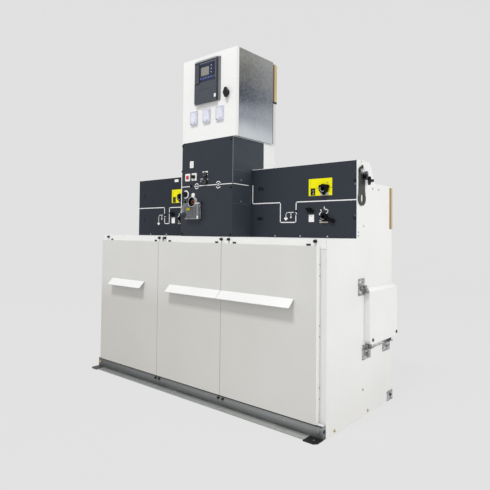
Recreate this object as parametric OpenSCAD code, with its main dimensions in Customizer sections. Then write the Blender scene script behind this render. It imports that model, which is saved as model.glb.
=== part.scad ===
// Ring main unit: cable box with three lift-off covers, two ring-switch housings, a circuit-breaker
// tower and a relay cabinet on top. Millimetres, +Z up, front towards -Y.
// The origin is on the floor at the centre of the four anchor holes.

/* [Cable box] */
// Width of each outer cable cover
outer_cover_w = 555; // [500:1:620]
// Width of the middle cable cover
middle_cover_w = 486; // [450:1:540]
// Gap between neighbouring covers
cover_gap = 2; // [1:0.5:4]
// Height of the covers
cover_h = 750; // [700:1:800]
// Height of the covers' lower edge above the floor
cover_z = 59; // [52:1:75]
// Depth of a cover's folded edges
cover_depth = 30; // [24:1:36]
// Sheet thickness of covers, panels and roofs
sheet = 2; // [1.5:0.5:3]
// Rest gap between a lift-off piece and its seat
seat_gap = 0.3; // [0.2:0.1:0.5]
// Distance of the awning lips below the covers' upper edge
lip_drop = 234; // [150:1:320]
// How far an awning lip stands out and drops
lip_reach = 38; // [25:1:50]
// Width of the left cover's lip
left_lip_w = 317; // [200:1:420]
// Distance of the left cover's lip from that cover's left edge
left_lip_x = 118; // [60:1:130]
// Lip's end distance from the outer edges on the middle and right covers
wide_lip_end = 100; // [40:1:140]

/* [Frame] */
// Distance from the covers' outer edge to the outside of the side panel
side_margin = 31; // [24:1:45]
// Depth from the frame's front plane to its back
body_depth = 669; // [640:1:720]
// Height of the deck above the covers' upper edge
strip_rise = 32; // [26:1:40]
// Width of the side panels' folded flanges
flange_w = 39; // [34:1:50]
// Thickness of the base rails
rail_t = 4; // [3:0.5:6]
// Distance of the front rail's web behind the cover face
rail_setback = 9; // [6:1:14]
// Width of the front rail's foot flange
rail_flange = 46; // [40:1:60]
// Gap between the front rail's web and the covers
rail_gap = 3; // [2:0.5:6]
// Height of the rear rail's web
rear_rail_h = 49; // [40:1:60]
// Width of the rear rail's foot flange
rear_flange = 50; // [44:1:64]
// Distance of the front anchor holes ahead of the frame plane
anchor_setback = 46; // [42:1:50]
// Distance of the rear anchor holes ahead of the back
anchor_inset = 25; // [18:1:32]
// Distance of the anchor holes from the outside of the unit
anchor_edge = 31; // [24:1:38]
// Radius of the anchor holes
anchor_r = 7; // [5:0.5:9]

/* [Switch housings] */
// Distance of the ring-switch fascias behind the frame plane
fascia_setback = 274; // [255:1:290]
// Thickness of the fascias
fascia_t = 3; // [2:0.5:4]
// Height of the ring-switch fascias
fascia_h = 374; // [350:1:400]
// Height of the rear roof above the deck
rear_roof_h = 273; // [250:1:300]
// Distance from fascia to the bend where the roof starts to slope
roof_bend = 137; // [110:1:160]
// Horizontal run of the sloping roof
roof_run = 50; // [40:1:70]
// Radius of the roof's upper bend
roof_r = 34; // [20:1:44]

/* [Breaker tower] */
// Left edge of the tower, from the unit's centre
tower_x0 = -223; // [-235:1:-215]
// Width of the tower
tower_w = 409; // [395:1:425]
// Distance of the tower's front behind the frame plane
tower_setback = 117; // [100:1:130]
// Depth of the tower
tower_d = 367; // [350:1:385]
// Depth of the dark cheek behind the tower's front
cheek_d = 263; // [235:1:285]
// Height of the tower above the deck
tower_h = 542; // [520:1:570]
// Width of the white edge beside the tower's fascia
tower_edge = 6; // [4:1:10]

/* [Relay cabinet] */
// Width of the relay cabinet
cab_w = 420; // [410:1:450]
// Height of the relay cabinet
cab_h = 485; // [465:1:520]
// Depth of the shell behind the door
cab_d = 300; // [270:1:330]
// Depth of the rear skirt behind the cabinet's back
cab_skirt = 30; // [15:1:40]
// Depth of the door's folded edges
door_d = 22; // [18:1:28]
// Gap between the door and the shell
door_gap = 2; // [1.5:0.5:4]
// Width of the protection relay's bezel
relay_w = 172; // [160:1:184]
// Height of the protection relay's bezel
relay_h = 246; // [225:1:255]
// How far the relay's bezel stands out of the door
relay_proud = 20; // [14:1:26]
// Width of a fuse carrier
fuse_w = 55; // [45:1:60]
// Height of a fuse carrier
fuse_h = 77; // [70:1:90]
// How far a fuse carrier stands out of the door
fuse_proud = 10; // [8:1:16]

/* [Controls] */
// Distance between the left and right ring switches
ring_pitch = 1050; // [1000:1:1090]
// Radius of the switch spindles
spindle_r = 10; // [8:0.5:12]
// Running clearance of spindles, pins and knobs in their bores
run_fit = 0.05; // [0.02:0.01:0.09]
// Radius of the main-switch hub
main_hub_r = 23; // [19:1:26]
// Radius of the earth-switch hub
earth_hub_r = 19; // [16:1:22]
// Length of the earth switch's handle from its axis
earth_arm = 62; // [50:1:68]
// Radius of the small spindles
small_spindle_r = 6; // [4:0.5:7]
// Side of a push button
button_w = 20; // [16:1:24]
// Clearance round a push button
button_gap = 0.4; // [0.3:0.1:0.6]
// Travel left behind a push button
button_travel = 6; // [4:0.5:8]
// Radius of the relay's keys
key_r = 5; // [4:0.5:6]
// Radius of the position indicator's disc
flag_r = 32; // [26:1:36]

/* [Right side] */
// Depth of the busbar end cover
bus_d = 29; // [22:1:40]
// Length of the busbar end cover, front to back
bus_l = 322; // [290:1:324]
// Height of the busbar end cover
bus_h = 270; // [240:1:300]
// Height of the busbar end cover's lower edge above the floor
bus_z = 335; // [300:1:380]
// Thickness of the stowed lever's plate
lever_t = 6; // [4:1:9]
// Width of the stowed lever's plate
lever_w = 70; // [58:1:80]
// Length of the stowed lever below its stud
lever_l = 163; // [140:1:190]
// Radius of the stud that carries the lever
stud_r = 6; // [5:0.5:8]

/* [Inside] */
// Height of the tank's lower part
tank_h = 337; // [300:1:370]
// Wall of the tank
tank_wall = 4; // [3:0.5:6]
// Depth of the tank behind the frame plane
tank_setback = 120; // [100:1:140]
// Depth of the tank's upper part behind the frame plane
tank_upper_setback = 399; // [385:1:420]
// Radius of a cable bushing's flange
bushing_r = 48; // [40:1:55]
// Length of a cable bushing
bushing_l = 190; // [160:1:220]
// Distance between the bushings of one cable
phase_pitch = 125; // [115:1:145]

/* [Hidden] */
$fn = 40;
half_cover = outer_cover_w + cover_gap + middle_cover_w / 2;
half_w = half_cover + side_margin;
in_w = half_w - sheet;
frame_y = (anchor_setback + anchor_inset - body_depth) / 2;
rear_y = frame_y + body_depth;
cover_back_y = frame_y - seat_gap;
cover_face_y = cover_back_y - cover_depth;
cover_top = cover_z + cover_h;
deck_z = cover_top + strip_rise;
rear_roof_z = deck_z + rear_roof_h;
seam_x = middle_cover_w / 2 + cover_gap / 2;
lip_z = cover_top - lip_drop;
web_y = cover_face_y + rail_setback;
web_top = cover_z - rail_gap;
anchor_x = half_w - anchor_edge;
anchor_front_y = frame_y - anchor_setback;
anchor_rear_y = rear_y - anchor_inset;
foot_l = 64;
foot_x = half_w - foot_l;
foot_t = rail_t + 1;
tab_l = 110;

// Deck strip above the covers, with hook slots and thumb screws
strip_z = cover_top - 12;
hook_z0 = cover_top - sheet - 1;
hook_z1 = cover_top + strip_rise * 0.28;
hook_w = 20;
hook_inset = 60;
screw_z = (hook_z1 + deck_z) / 2;
screw_inset = 24;

// Switch housings
fascia_y = frame_y + fascia_setback;
fascia_back = fascia_y + fascia_t;
fascia_top = deck_z + fascia_h;
side_rise = 2;
bend_y = fascia_y + roof_bend;
foot_y = bend_y + roof_run;
foot_r = 12;
deck_back = fascia_back + 40;

// Breaker tower
tower_x1 = tower_x0 + tower_w;
tower_y = frame_y + tower_setback;
tower_back = tower_y + tower_d;
tower_top = deck_z + tower_h;
cheek_back = tower_y + cheek_d;
joint_gap = 0.3;

// Relay cabinet, set over the tower's fascia
cab_x0 = tower_x0 + tower_edge;
cab_x1 = cab_x0 + cab_w;
cab_z = tower_top;
cab_top = cab_z + cab_h;
door_y = tower_y;
door_back = door_y + door_d;
shell_y = door_back + door_gap;
shell_back = shell_y + cab_d;
skirt_back = shell_back + cab_skirt;
hinge_x = cab_x0 + 7;
hinge_y = door_y + 6;
hinge_r = 2.5;
hinge_zs = [cab_z + 85, cab_top - 85];
knuckle_h = 24;
strap_t = 4;
relay_x = cab_x0 + cab_w / 2 - 8;
relay_z = cab_top - relay_h / 2 - 27;
relay_face_y = door_y - relay_proud;
relay_body_d = 90;
relay_flange = 16;
relay_flange_t = 4;
relay_bevel = 13;
latch_x = cab_x1 - 64;
latch_z = cab_z + cab_h / 2;
latch_r = 5;
fuse_xs = [for (i = [-1:1]) cab_x0 + cab_w / 2 + 102 * i - 8];
fuse_z = cab_z + 138;
fuse_base_d = 10;
fuse_lip = 4;
flap_w = 36;
flap_h = 110;
flap_t = 3;
flap_x = relay_x - relay_w / 2 + 4;
flap_z = relay_z + relay_h / 2 - 22 - flap_h / 2;
flap_proud = 4;
flap_pin_r = 1.5;
key_z = relay_z + 13;
key_xs = [for (i = [0:4]) relay_x - 33 + 20.5 * i];
key_l = 7;
key_proud = 1.5;

// Ring-switch controls, the same on both sides: x from the unit's centre
ring_xs = [half_w - 175 - ring_pitch, half_w - 175];
main_z = deck_z + 244;
earth_z = deck_z + 104;
selector_dx = -84;
selector_z = deck_z + 140;
flag_dx = -68;
flag_z = deck_z + 212;
window_w = 24;
window_h = 32;
window_z = flag_z + 20;
mech_front_y = fascia_back + 42;
mech_t = 6;
tank_y = frame_y + tank_setback;
tank_upper_y = frame_y + tank_upper_setback;
tank_back = rear_y - 28;
tank_x = in_w - 25;
tank_top = rear_roof_z - sheet - 16;
tank_split = deck_z - sheet - 2;
tank_z = tank_split - tank_h;

// Breaker controls on the tower's fascia
button_z = deck_z + 340;
trip_x = tower_x0 + 58;
close_x = tower_x0 + 112;
bezel_w = button_w + 19;
bezel_t = 5;
button_proud = 3;
lock_x = tower_x0 + 200;
upper_lock_z = deck_z + 348;
lower_lock_z = deck_z + 306;
lock_r = 11;
breaker_x = tower_x0 + 38;
breaker_z = deck_z + 242;
charge_x = tower_x0 + 109;
charge_z = deck_z + 196;
charge_r = 12;
guide_r = 29;
shield_w = 161;
shield_h = 93;
shield_notch = [42, 37];
shield_t = 3;
shield_x = tower_x0 + 172;
shield_z = deck_z + 143;
shield_y = tower_y - 16;
shield_pin_r = 2;
shield_pin_y = shield_y + 2.5;
ear_t = 4;
ear_gap = 1;

// Stowed lever and busbar end cover on the right side
stud_y = frame_y + 311;
stud_z = deck_z + fascia_h - 54;
stud_l = 16;
lever_x = half_w + 2;
bus_y1 = rear_y + 3;
bus_y0 = bus_y1 - bus_l;
bus_x = half_w + bus_d;
bus_r = 26;
bus_slope = 17;

// Cable compartments
bay_xs = [-(seam_x + cover_gap / 2 + outer_cover_w / 2), 0, seam_x + cover_gap / 2 + outer_cover_w / 2];
bushing_y = tank_y + 120;
cable_rail_z = 150;

white = [0.93, 0.93, 0.92];
pale = [0.86, 0.86, 0.85];
dark = [0.22, 0.24, 0.27];
galv = [0.62, 0.65, 0.68];
black = [0.06, 0.06, 0.07];

// A box between two corners
module block(lo, hi) translate(lo) cube(hi - lo);

// A cylinder along Y from y0 to y1
module bar_y(x, z, y0, y1, r) translate([x, y1, z]) rotate([90, 0, 0]) cylinder(r = r, h = y1 - y0);

// A cylinder along X from x0 to x1
module bar_x(y, z, x0, x1, r) translate([x0, y, z]) rotate([0, 90, 0]) cylinder(r = r, h = x1 - x0);

// A profile drawn in Y and Z, extruded along X from x0 to x1
module along_x(x0, x1) translate([x0, 0, 0]) rotate([90, 0, 90]) linear_extrude(x1 - x0) children();

// A profile drawn in X and Z, extruded along Y from y0 to y1
module along_y(y0, y1) translate([0, y1, 0]) rotate([90, 0, 0]) linear_extrude(y1 - y0) children();

// A rectangle with round corners
module round_rect(x0, x1, z0, z1, r) {
    for (z = [z0 + r, z1 - r])
        for (x = [x0 + r, x1 - r])
            translate([x, z]) circle(r);
    translate([x0 + r, z0]) square([x1 - x0 - 2 * r, z1 - z0]);
    translate([x0, z0 + r]) square([x1 - x0, z1 - z0 - 2 * r]);
}

// Arc that rounds the corner b between a and c, as points from a's side to c's side
function unit(v) = v / norm(v);
function corner(a, b, c, r, steps = 6) =
    let (u = unit(a - b), v = unit(c - b), half = acos(u * v) / 2, reach = r / tan(half),
        centre = b + unit(u + v) * r / sin(half), p = b + u * reach - centre,
        side = sign(u[0] * v[1] - u[1] * v[0]), sweep = 180 - 2 * half)
    [for (i = [0:steps]) let (t = -side * sweep * i / steps)
        centre + [p[0] * cos(t) - p[1] * sin(t), p[0] * sin(t) + p[1] * cos(t)]];

// Upper line of the roof from the fascia to the back, lowered by d along its normal
function roof_line(d, y0) =
    let (drop = fascia_top - rear_roof_z, lean = d * tan(atan2(drop, roof_run) / 2),
        a = [y0, fascia_top - d], b = [bend_y - lean, fascia_top - d],
        c = [foot_y - lean, rear_roof_z - d], e = [rear_y, rear_roof_z - d])
    concat([a], corner(a, b, c, roof_r - d), corner(b, c, e, foot_r + d), [e]);

// Base

module front_base_rail() color(galv) difference() {
    union() {
        block([-foot_x, web_y - rail_flange, 0], [foot_x, web_y, rail_t]);
        block([-in_w, web_y, 0], [in_w, web_y + rail_t, web_top]);
        for (s = [0, 1])
            mirror([s, 0, 0])
                block([in_w - rail_t, web_y + rail_t, 0], [in_w, frame_y + tab_l, web_top]);
    }
    // Slot in the foot flange and small holes along the web
    for (x = [-95, -77])
        translate([x, web_y - 12, -1]) cylinder(r = 4.5, h = rail_t + 2);
    block([-95, web_y - 16.5, -1], [-77, web_y - 7.5, rail_t + 1]);
    for (x = [-628, -449, -18, 449, 628])
        bar_y(x, 33, web_y - 1, web_y + rail_t + 1, 3);
}

module rail_feet() color(black)
    for (s = [0, 1])
        mirror([s, 0, 0])
            difference() {
                linear_extrude(foot_t)
                    polygon([[foot_x, web_y], [foot_x, web_y - rail_flange - 12],
                        [half_w - 14, web_y - rail_flange - 12], [half_w, web_y - rail_flange + 2],
                        [half_w, web_y]]);
                translate([anchor_x, anchor_front_y, -1]) cylinder(r = anchor_r, h = foot_t + 2);
            }

module rear_base_rail() color(galv) difference() {
    union() {
        block([-in_w + 3, rear_y - rear_flange, 0], [in_w - 3, rear_y + rail_t, rail_t]);
        block([-half_w - sheet, rear_y, 0], [half_w + sheet, rear_y + rail_t, rear_rail_h]);
        for (s = [0, 1])
            mirror([s, 0, 0])
                block([half_w, rear_y - 63, 0], [half_w + sheet, rear_y + rail_t, rear_rail_h]);
    }
    for (x = [-anchor_x, anchor_x])
        translate([x, anchor_rear_y, -1]) cylinder(r = anchor_r, h = rail_t + 2);
}

// Side panel: one sheet with folded flanges, a ledge for the tank and a seat for the fascia
module side_panel() {
    top = roof_line(-side_rise, fascia_y);
    along_x(in_w, half_w)
        polygon(concat([[frame_y, 0], [frame_y, deck_z], [fascia_y, deck_z]], top, [[rear_y, 0]]));
    block([in_w - flange_w, frame_y, web_top + 2], [in_w, frame_y + sheet, strip_z - 1]);
    block([in_w - flange_w, frame_y + tab_l + 5, 0], [in_w, rear_y - rear_flange - 12, sheet]);
    block([in_w - 24, fascia_back, deck_z + 2], [in_w, fascia_back + sheet, fascia_top - sheet - 6]);
    block([in_w - 60, tank_y, tank_z - 4], [in_w, tank_back, tank_z]);
}

module left_side_panel() color(white) mirror([1, 0, 0]) side_panel();

module right_side_panel() color(white) {
    side_panel();
    // Stud for the stowed lever
    bar_x(stud_y, stud_z, half_w - 0.5, half_w + stud_l, stud_r);
}

module rear_panel() color(white)
    block([-in_w, rear_y - sheet, rail_t], [in_w, rear_y, rear_roof_z - sheet]);

// Edges of a cover: 0 is left, 1 is middle, 2 is right
function cover_x0(i) = [-half_cover, -middle_cover_w / 2, half_cover - outer_cover_w][i];
function cover_x1(i) = cover_x0(i) + [outer_cover_w, middle_cover_w, outer_cover_w][i];

// Deck: front strip with hook slots and thumb-screw holes, folded back into the deck plate
module deck() color(white) difference() {
    union() {
        block([-in_w, frame_y, strip_z], [in_w, frame_y + sheet, deck_z]);
        block([-in_w, frame_y, deck_z - sheet], [in_w, deck_back, deck_z]);
        block([-in_w, deck_back - sheet, deck_z - sheet], [in_w, deck_back, deck_z + 20]);
    }
    for (i = [0:2])
        for (x = [cover_x0(i) + hook_inset, cover_x1(i) - hook_inset])
            block([x - hook_w / 2 - 2, frame_y - 1, hook_z0], [x + hook_w / 2 + 2, frame_y + sheet + 1, hook_z1]);
    for (i = [0:2])
        for (x = [cover_x0(i) + screw_inset, cover_x1(i) - screw_inset])
            bar_y(x, screw_z, frame_y - 1, frame_y + sheet + 1, 2.6);
    // The back fold stops short of the tower's walls
    block([tower_x0 - 2, deck_back - sheet - 1, deck_z], [tower_x1 + 2, deck_back + 1, deck_z + 21]);
}

// Inside

module tank_body(inset) {
    block([-tank_x + inset, tank_y + inset, tank_z + inset],
        [tank_x - inset, tank_back - inset, tank_split - inset]);
    block([-tank_x + inset, tank_upper_y + inset, tank_z + inset],
        [tank_x - inset, tank_back - inset, tank_top - inset]);
}

module gas_tank() color([0.7, 0.71, 0.72]) difference() {
    tank_body(0);
    tank_body(tank_wall);
}

module cable_bushings() color([0.45, 0.2, 0.14])
    for (bay = bay_xs)
        for (i = [-1:1])
            translate([bay + i * phase_pitch, bushing_y, tank_z - bushing_l])
                rotate_extrude()
                    polygon([[0, -25], [8, -25], [8, 0], [24, 0], [28, bushing_l - 90], [38, bushing_l - 84],
                        [38, bushing_l - 76], [30, bushing_l - 70], [31, bushing_l - 52], [42, bushing_l - 46],
                        [42, bushing_l - 38], [33, bushing_l - 32], [34, bushing_l - 14],
                        [bushing_r, bushing_l - 12], [bushing_r, bushing_l], [0, bushing_l]]);

// Angle rail across the cable box, with a pair of clamp holes behind each bushing
module cable_rail() color(galv) difference() {
    front = bushing_y + 34;
    union() {
        block([-in_w, front, cable_rail_z], [in_w, front + 4, cable_rail_z + 40]);
        block([-in_w, front, cable_rail_z], [in_w, front + 34, cable_rail_z + 4]);
    }
    for (bay = bay_xs)
        for (i = [-1:1])
            for (dx = [-36, 36])
                bar_y(bay + i * phase_pitch + dx, cable_rail_z + 22, front - 1, front + 5, 5.5);
}

module earth_bar() color([0.72, 0.42, 0.26]) {
    block([-in_w + 60, rear_y - sheet - 26, 95], [in_w - 60, rear_y - sheet - 20, 135]);
    for (x = [-in_w + 120, 0, in_w - 120])
        bar_y(x, 115, rear_y - sheet - 21, rear_y - sheet, 9);
}

// Mechanism frame behind each fascia: a front bearing plate on pillars from the tank
module ring_frame(cx) difference() {
    union() {
        block([cx - 130, mech_front_y, deck_z + 60], [cx + 70, mech_front_y + mech_t, deck_z + 300]);
        for (x = [cx - 118, cx + 58])
            for (z = [deck_z + 72, tank_top - 18])
                bar_y(x, z, mech_front_y + mech_t - 1, tank_upper_y, 8);
    }
    for (z = [main_z, earth_z])
        bar_y(cx, z, mech_front_y - 1, mech_front_y + mech_t + 1, spindle_r + run_fit);
    bar_y(cx + selector_dx, selector_z, mech_front_y - 1, mech_front_y + mech_t + 1, small_spindle_r + run_fit);
    bar_y(cx + flag_dx, flag_z, mech_front_y - 1, mech_front_y + mech_t + 1, small_spindle_r + run_fit);
}

module breaker_frame() {
    y0 = tower_y + fascia_t + 45;
    difference() {
        union() {
            block([tower_x0 + 12, y0, deck_z + 170], [tower_x0 + 260, y0 + mech_t, deck_z + 280]);
            for (x = [tower_x0 + 24, tower_x0 + 248])
                for (z = [deck_z + 182, deck_z + 230])
                    bar_y(x, z, y0 + mech_t - 1, tank_upper_y, 9);
        }
        bar_y(breaker_x, breaker_z, y0 - 1, y0 + mech_t + 1, small_spindle_r + run_fit);
        bar_y(charge_x, charge_z, y0 - 1, y0 + mech_t + 1, spindle_r + run_fit);
    }
}

module mechanism_frames() color(galv) {
    for (cx = ring_xs)
        ring_frame(cx);
    breaker_frame();
}

// Covers

// Awning lip folded out of a cover, from x0 to x1
module lip(x0, x1) along_x(x0, x1)
    polygon([[cover_face_y, lip_z], [cover_face_y, lip_z - sheet * 1.5],
        [cover_face_y - lip_reach + sheet, lip_z - lip_reach], [cover_face_y - lip_reach, lip_z - lip_reach],
        [cover_face_y - lip_reach, lip_z - lip_reach + sheet]]);

// Cover tray with hook tongues along its top edge
module cover(i, lip_x0, lip_x1) {
    x0 = cover_x0(i);
    x1 = cover_x1(i);
    difference() {
        block([x0, cover_face_y, cover_z], [x1, cover_back_y, cover_top]);
        block([x0 + sheet, cover_face_y + sheet, cover_z + sheet],
            [x1 - sheet, cover_back_y + 1, cover_top - sheet]);
    }
    for (x = [x0 + hook_inset, x1 - hook_inset])
        block([x - hook_w / 2, cover_back_y - 4, cover_top - sheet],
            [x + hook_w / 2, frame_y + sheet + 8, cover_top]);
    lip(lip_x0, lip_x1);
}

module left_cover() color(pale)
    cover(0, cover_x0(0) + left_lip_x, cover_x0(0) + left_lip_x + left_lip_w);

module middle_cover() color(pale) cover(1, cover_x0(1) + wide_lip_end, cover_x1(1));

module right_cover() color(pale) cover(2, cover_x0(2), cover_x1(2) - wide_lip_end - 16);

// Black thumb screw along Y, its head in front of the plane y
module thumb_screw(x, y, z) {
    bar_y(x, z, y - 12, y - 2, 6);
    bar_y(x, z, y - 2, y, 8);
    bar_y(x, z, y - 1, y + 10, 2.5);
}

module cover_screws() color(black) {
    for (i = [0:2])
        for (x = [cover_x0(i) + screw_inset, cover_x1(i) - screw_inset])
            thumb_screw(x, frame_y, screw_z);
    for (s = [-1, 1])
        for (dx = [-15, 15])
            bar_y(s * seam_x + dx, web_top - 14, web_y - 7, web_y, 6);
}

// Bolts on the right side panel, the rail ends and the fascias' lower edges
module panel_bolts() color([0.62, 0.52, 0.3]) {
    for (p = [[frame_y + 70, 14, 5], [frame_y + 388, 14, 5], [frame_y + 336, 125, 4],
            [frame_y + 316, deck_z + fascia_h - 6, 3], [frame_y + 344, deck_z + 60, 3], [frame_y + 290, deck_z + 30, 3],
            [frame_y + 290, deck_z + 13, 3], [rear_y - 229, rear_roof_z - 26, 4], [rear_y - 162, rear_roof_z - 27, 4]])
        translate([half_w, p[0], p[1]]) rotate([0, 90, 0]) {
            cylinder(r = p[2] * 1.4, h = 1);
            translate([0, 0, 0.5]) cylinder(r = p[2], h = p[2] * 0.7, $fn = 6);
        }
    for (s = [-1, 1])
        bar_y(s * (in_w - 22), web_top - 22, web_y - 6, web_y, 8);
    for (cx = ring_xs)
        for (dx = [-303, -143, 17])
            bar_y(cx + dx, deck_z + 8, fascia_y - 2, fascia_y, 4);
}

// Switch housings

// Ring-switch fascia between x0 and x1 with its bores at the switch position cx
module ring_fascia(x0, x1, cx) difference() {
    block([x0, fascia_y, deck_z], [x1, fascia_back, fascia_top]);
    for (z = [main_z, earth_z])
        bar_y(cx, z, fascia_y - 1, fascia_back + 1, spindle_r + run_fit);
    bar_y(cx + selector_dx, selector_z, fascia_y - 1, fascia_back + 1, small_spindle_r + run_fit);
    block([cx + flag_dx - window_w / 2, fascia_y - 1, window_z - window_h / 2],
        [cx + flag_dx + window_w / 2, fascia_back + 1, window_z + window_h / 2]);
    // Fixing slots near the ends
    for (x = [x0 + 60, x1 - 9])
        for (z = [deck_z + 101, deck_z + 268])
            block([x - 2.5, fascia_y - 1, z - 11], [x + 2.5, fascia_back + 1, z + 11]);
}

module left_fascia() color(dark) ring_fascia(-in_w, tower_x0 - joint_gap, ring_xs[0]);

module right_fascia() color(dark) ring_fascia(tower_x1 + joint_gap, in_w, ring_xs[1]);

module roof(x0, x1) {
    outer = roof_line(0, fascia_back);
    inner = roof_line(sheet, fascia_back);
    last = len(inner) - 1;
    along_x(x0, x1) polygon(concat(outer, [for (i = [0:last]) inner[last - i]]));
}

module left_roof() color(white) roof(-in_w, tower_x0 - joint_gap);

module right_roof() color(white) roof(tower_x1 + joint_gap, in_w);

// Breaker tower

module tower_fascia() color(dark) difference() {
    x0 = tower_x0 + tower_edge;
    union() {
        along_y(tower_y, tower_y + fascia_t) difference() {
            translate([x0, deck_z]) square([tower_x1 - x0, tower_h]);
            // Round upper left corner
            difference() {
                translate([x0 - 1, tower_top - 14]) square([15, 15]);
                translate([x0 + 14, tower_top - 14]) circle(14);
            }
        }
        // Ears that carry the shield's pin
        for (z = [shield_z - shield_h / 2 - ear_gap - ear_t, shield_z + shield_h / 2 + ear_gap]) {
            block([shield_x - 5, shield_pin_y, z], [shield_x + 5, tower_y + 1, z + ear_t]);
            translate([shield_x, shield_pin_y, z]) cylinder(r = 5, h = ear_t);
        }
    }
    translate([shield_x, shield_pin_y, shield_z])
        cylinder(r = shield_pin_r + run_fit, h = shield_h + 4 * (ear_gap + ear_t), center = true);
    for (x = [trip_x, close_x])
        block([x - button_w / 2 - button_gap, tower_y - 1, button_z - button_w / 2 - button_gap],
            [x + button_w / 2 + button_gap, tower_y + fascia_t + 1, button_z + button_w / 2 + button_gap]);
    for (z = [upper_lock_z, lower_lock_z])
        bar_y(lock_x, z, tower_y - 1, tower_y + fascia_t + 1, lock_r + run_fit);
    bar_y(breaker_x, breaker_z, tower_y - 1, tower_y + fascia_t + 1, small_spindle_r + run_fit);
    bar_y(charge_x, charge_z, tower_y - 1, tower_y + fascia_t + 1, spindle_r + run_fit);
}

module tower_cheek() color(dark)
    block([tower_x1 - sheet, tower_y + fascia_t, deck_z], [tower_x1, cheek_back, tower_top - sheet]);

module tower_shell() color(white) {
    low = rear_roof_z - sheet;
    block([tower_x0, tower_y, deck_z], [tower_x0 + sheet, cheek_back, tower_top]);
    block([tower_x0, tower_y, low], [tower_x0 + sheet, tower_back, tower_top]);
    block([tower_x0, tower_y, deck_z], [tower_x0 + tower_edge, tower_y + sheet, tower_top]);
    block([tower_x0, tower_y + fascia_t, tower_top - sheet], [tower_x1, tower_back, tower_top]);
    block([tower_x0, tower_back - sheet, low], [tower_x1, tower_back, tower_top]);
    block([tower_x1 - sheet, cheek_back, low], [tower_x1, tower_back, tower_top]);
    block([tower_x0, tower_back - sheet, low], [tower_x1, rear_y, rear_roof_z]);
}

// Controls

// Three-lobed hub with a square socket for the operating lever
module main_switch(cx) color(black) difference() {
    union() {
        bar_y(cx, main_z, fascia_y - 20, fascia_y - joint_gap, main_hub_r);
        bar_y(cx, main_z, fascia_y - 1, mech_front_y + mech_t, spindle_r);
        for (a = [30, 150, 270])
            bar_y(cx + main_hub_r * cos(a), main_z + main_hub_r * sin(a), fascia_y - 14, fascia_y - joint_gap, 8);
    }
    block([cx - 7, fascia_y - 21, main_z - 7], [cx + 7, fascia_y + 12, main_z + 7]);
}

// Hub with a square socket and a short handle
module earth_switch(cx) color(black) difference() {
    union() {
        bar_y(cx, earth_z, fascia_y - 16, fascia_y - joint_gap, earth_hub_r);
        bar_y(cx, earth_z, fascia_y - 1, mech_front_y + mech_t, spindle_r);
        translate([cx, 0, earth_z]) rotate([0, 22, 0]) {
            block([0, fascia_y - 12, -8], [earth_arm - 10, fascia_y - 3, 8]);
            bar_y(earth_arm - 10, 0, fascia_y - 14, fascia_y - 3, 10);
        }
    }
    block([cx - 6, fascia_y - 17, earth_z - 6], [cx + 6, fascia_y + 12, earth_z + 6]);
}

// Interlock selector: a small knob with two ears
module selector(cx) color(black) {
    x = cx + selector_dx;
    bar_y(x, selector_z, fascia_y - 13, fascia_y - joint_gap, 12);
    bar_y(x, selector_z, fascia_y - 1, mech_front_y + mech_t, small_spindle_r);
    for (a = [18, 198])
        translate([x, 0, selector_z]) rotate([0, a, 0]) {
            block([0, fascia_y - 11, -5], [17, fascia_y - 3, 5]);
            bar_y(17, 0, fascia_y - 11, fascia_y - 3, 6);
        }
}

// Position indicator: a disc behind its window, on its own spindle in the mechanism frame
module indicator(cx) color([0.9, 0.9, 0.88]) {
    x = cx + flag_dx;
    bar_y(x, flag_z, fascia_back + 6, fascia_back + 8, flag_r);
    bar_y(x, flag_z, fascia_back + 7, mech_front_y + mech_t, small_spindle_r);
}

module left_main_switch() main_switch(ring_xs[0]);
module left_earth_switch() earth_switch(ring_xs[0]);
module left_selector() selector(ring_xs[0]);
module left_indicator() indicator(ring_xs[0]);
module right_main_switch() main_switch(ring_xs[1]);
module right_earth_switch() earth_switch(ring_xs[1]);
module right_selector() selector(ring_xs[1]);
module right_indicator() indicator(ring_xs[1]);

// White frames round the two push buttons
module button_bezels() color(white)
    for (x = [trip_x, close_x])
        along_y(tower_y - bezel_t, tower_y) difference() {
            round_rect(x - bezel_w / 2, x + bezel_w / 2, button_z - bezel_w / 2 - 2, button_z + bezel_w / 2 + 2, 4);
            hole = button_w / 2 + button_gap;
            translate([x - hole, button_z - hole]) square(2 * hole);
        }

module push_button(x) {
    half = button_w / 2;
    along_y(tower_y - bezel_t - button_proud, tower_y + fascia_t + 8)
        round_rect(x - half, x + half, button_z - half, button_z + half, 2);
}

module trip_button() color([0.72, 0.06, 0.06]) push_button(trip_x);
module close_button() color(black) {
    push_button(close_x);
    bar_y(close_x, button_z, tower_y - bezel_t - button_proud - 13, tower_y - bezel_t, button_w / 2);
}

// Key lock: barrel in the fascia with a collar and a key slot
module key_lock(z, collar) color([0.25, 0.25, 0.26]) difference() {
    union() {
        bar_y(lock_x, z, tower_y - 3, tower_y + fascia_t + 30, lock_r);
        bar_y(lock_x, z, tower_y - 9, tower_y - joint_gap, collar);
    }
    block([lock_x - 1.2, tower_y - 10, z - 6], [lock_x + 1.2, tower_y + 6, z + 6]);
}

module upper_key_lock() key_lock(upper_lock_z, lock_r + 3);
module lower_key_lock() key_lock(lower_lock_z, lock_r + 6);

// Breaker selector: round knob with a raised grip bar
module breaker_selector() color(black) {
    bar_y(breaker_x, breaker_z, tower_y - 9, tower_y - joint_gap, 17);
    bar_y(breaker_x, breaker_z, tower_y - 1, tower_y + fascia_t + 45 + mech_t, small_spindle_r);
    translate([breaker_x, 0, breaker_z]) rotate([0, 35, 0])
        along_y(tower_y - 20, tower_y - 8) round_rect(-14, 14, -4, 4, 3);
}

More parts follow.
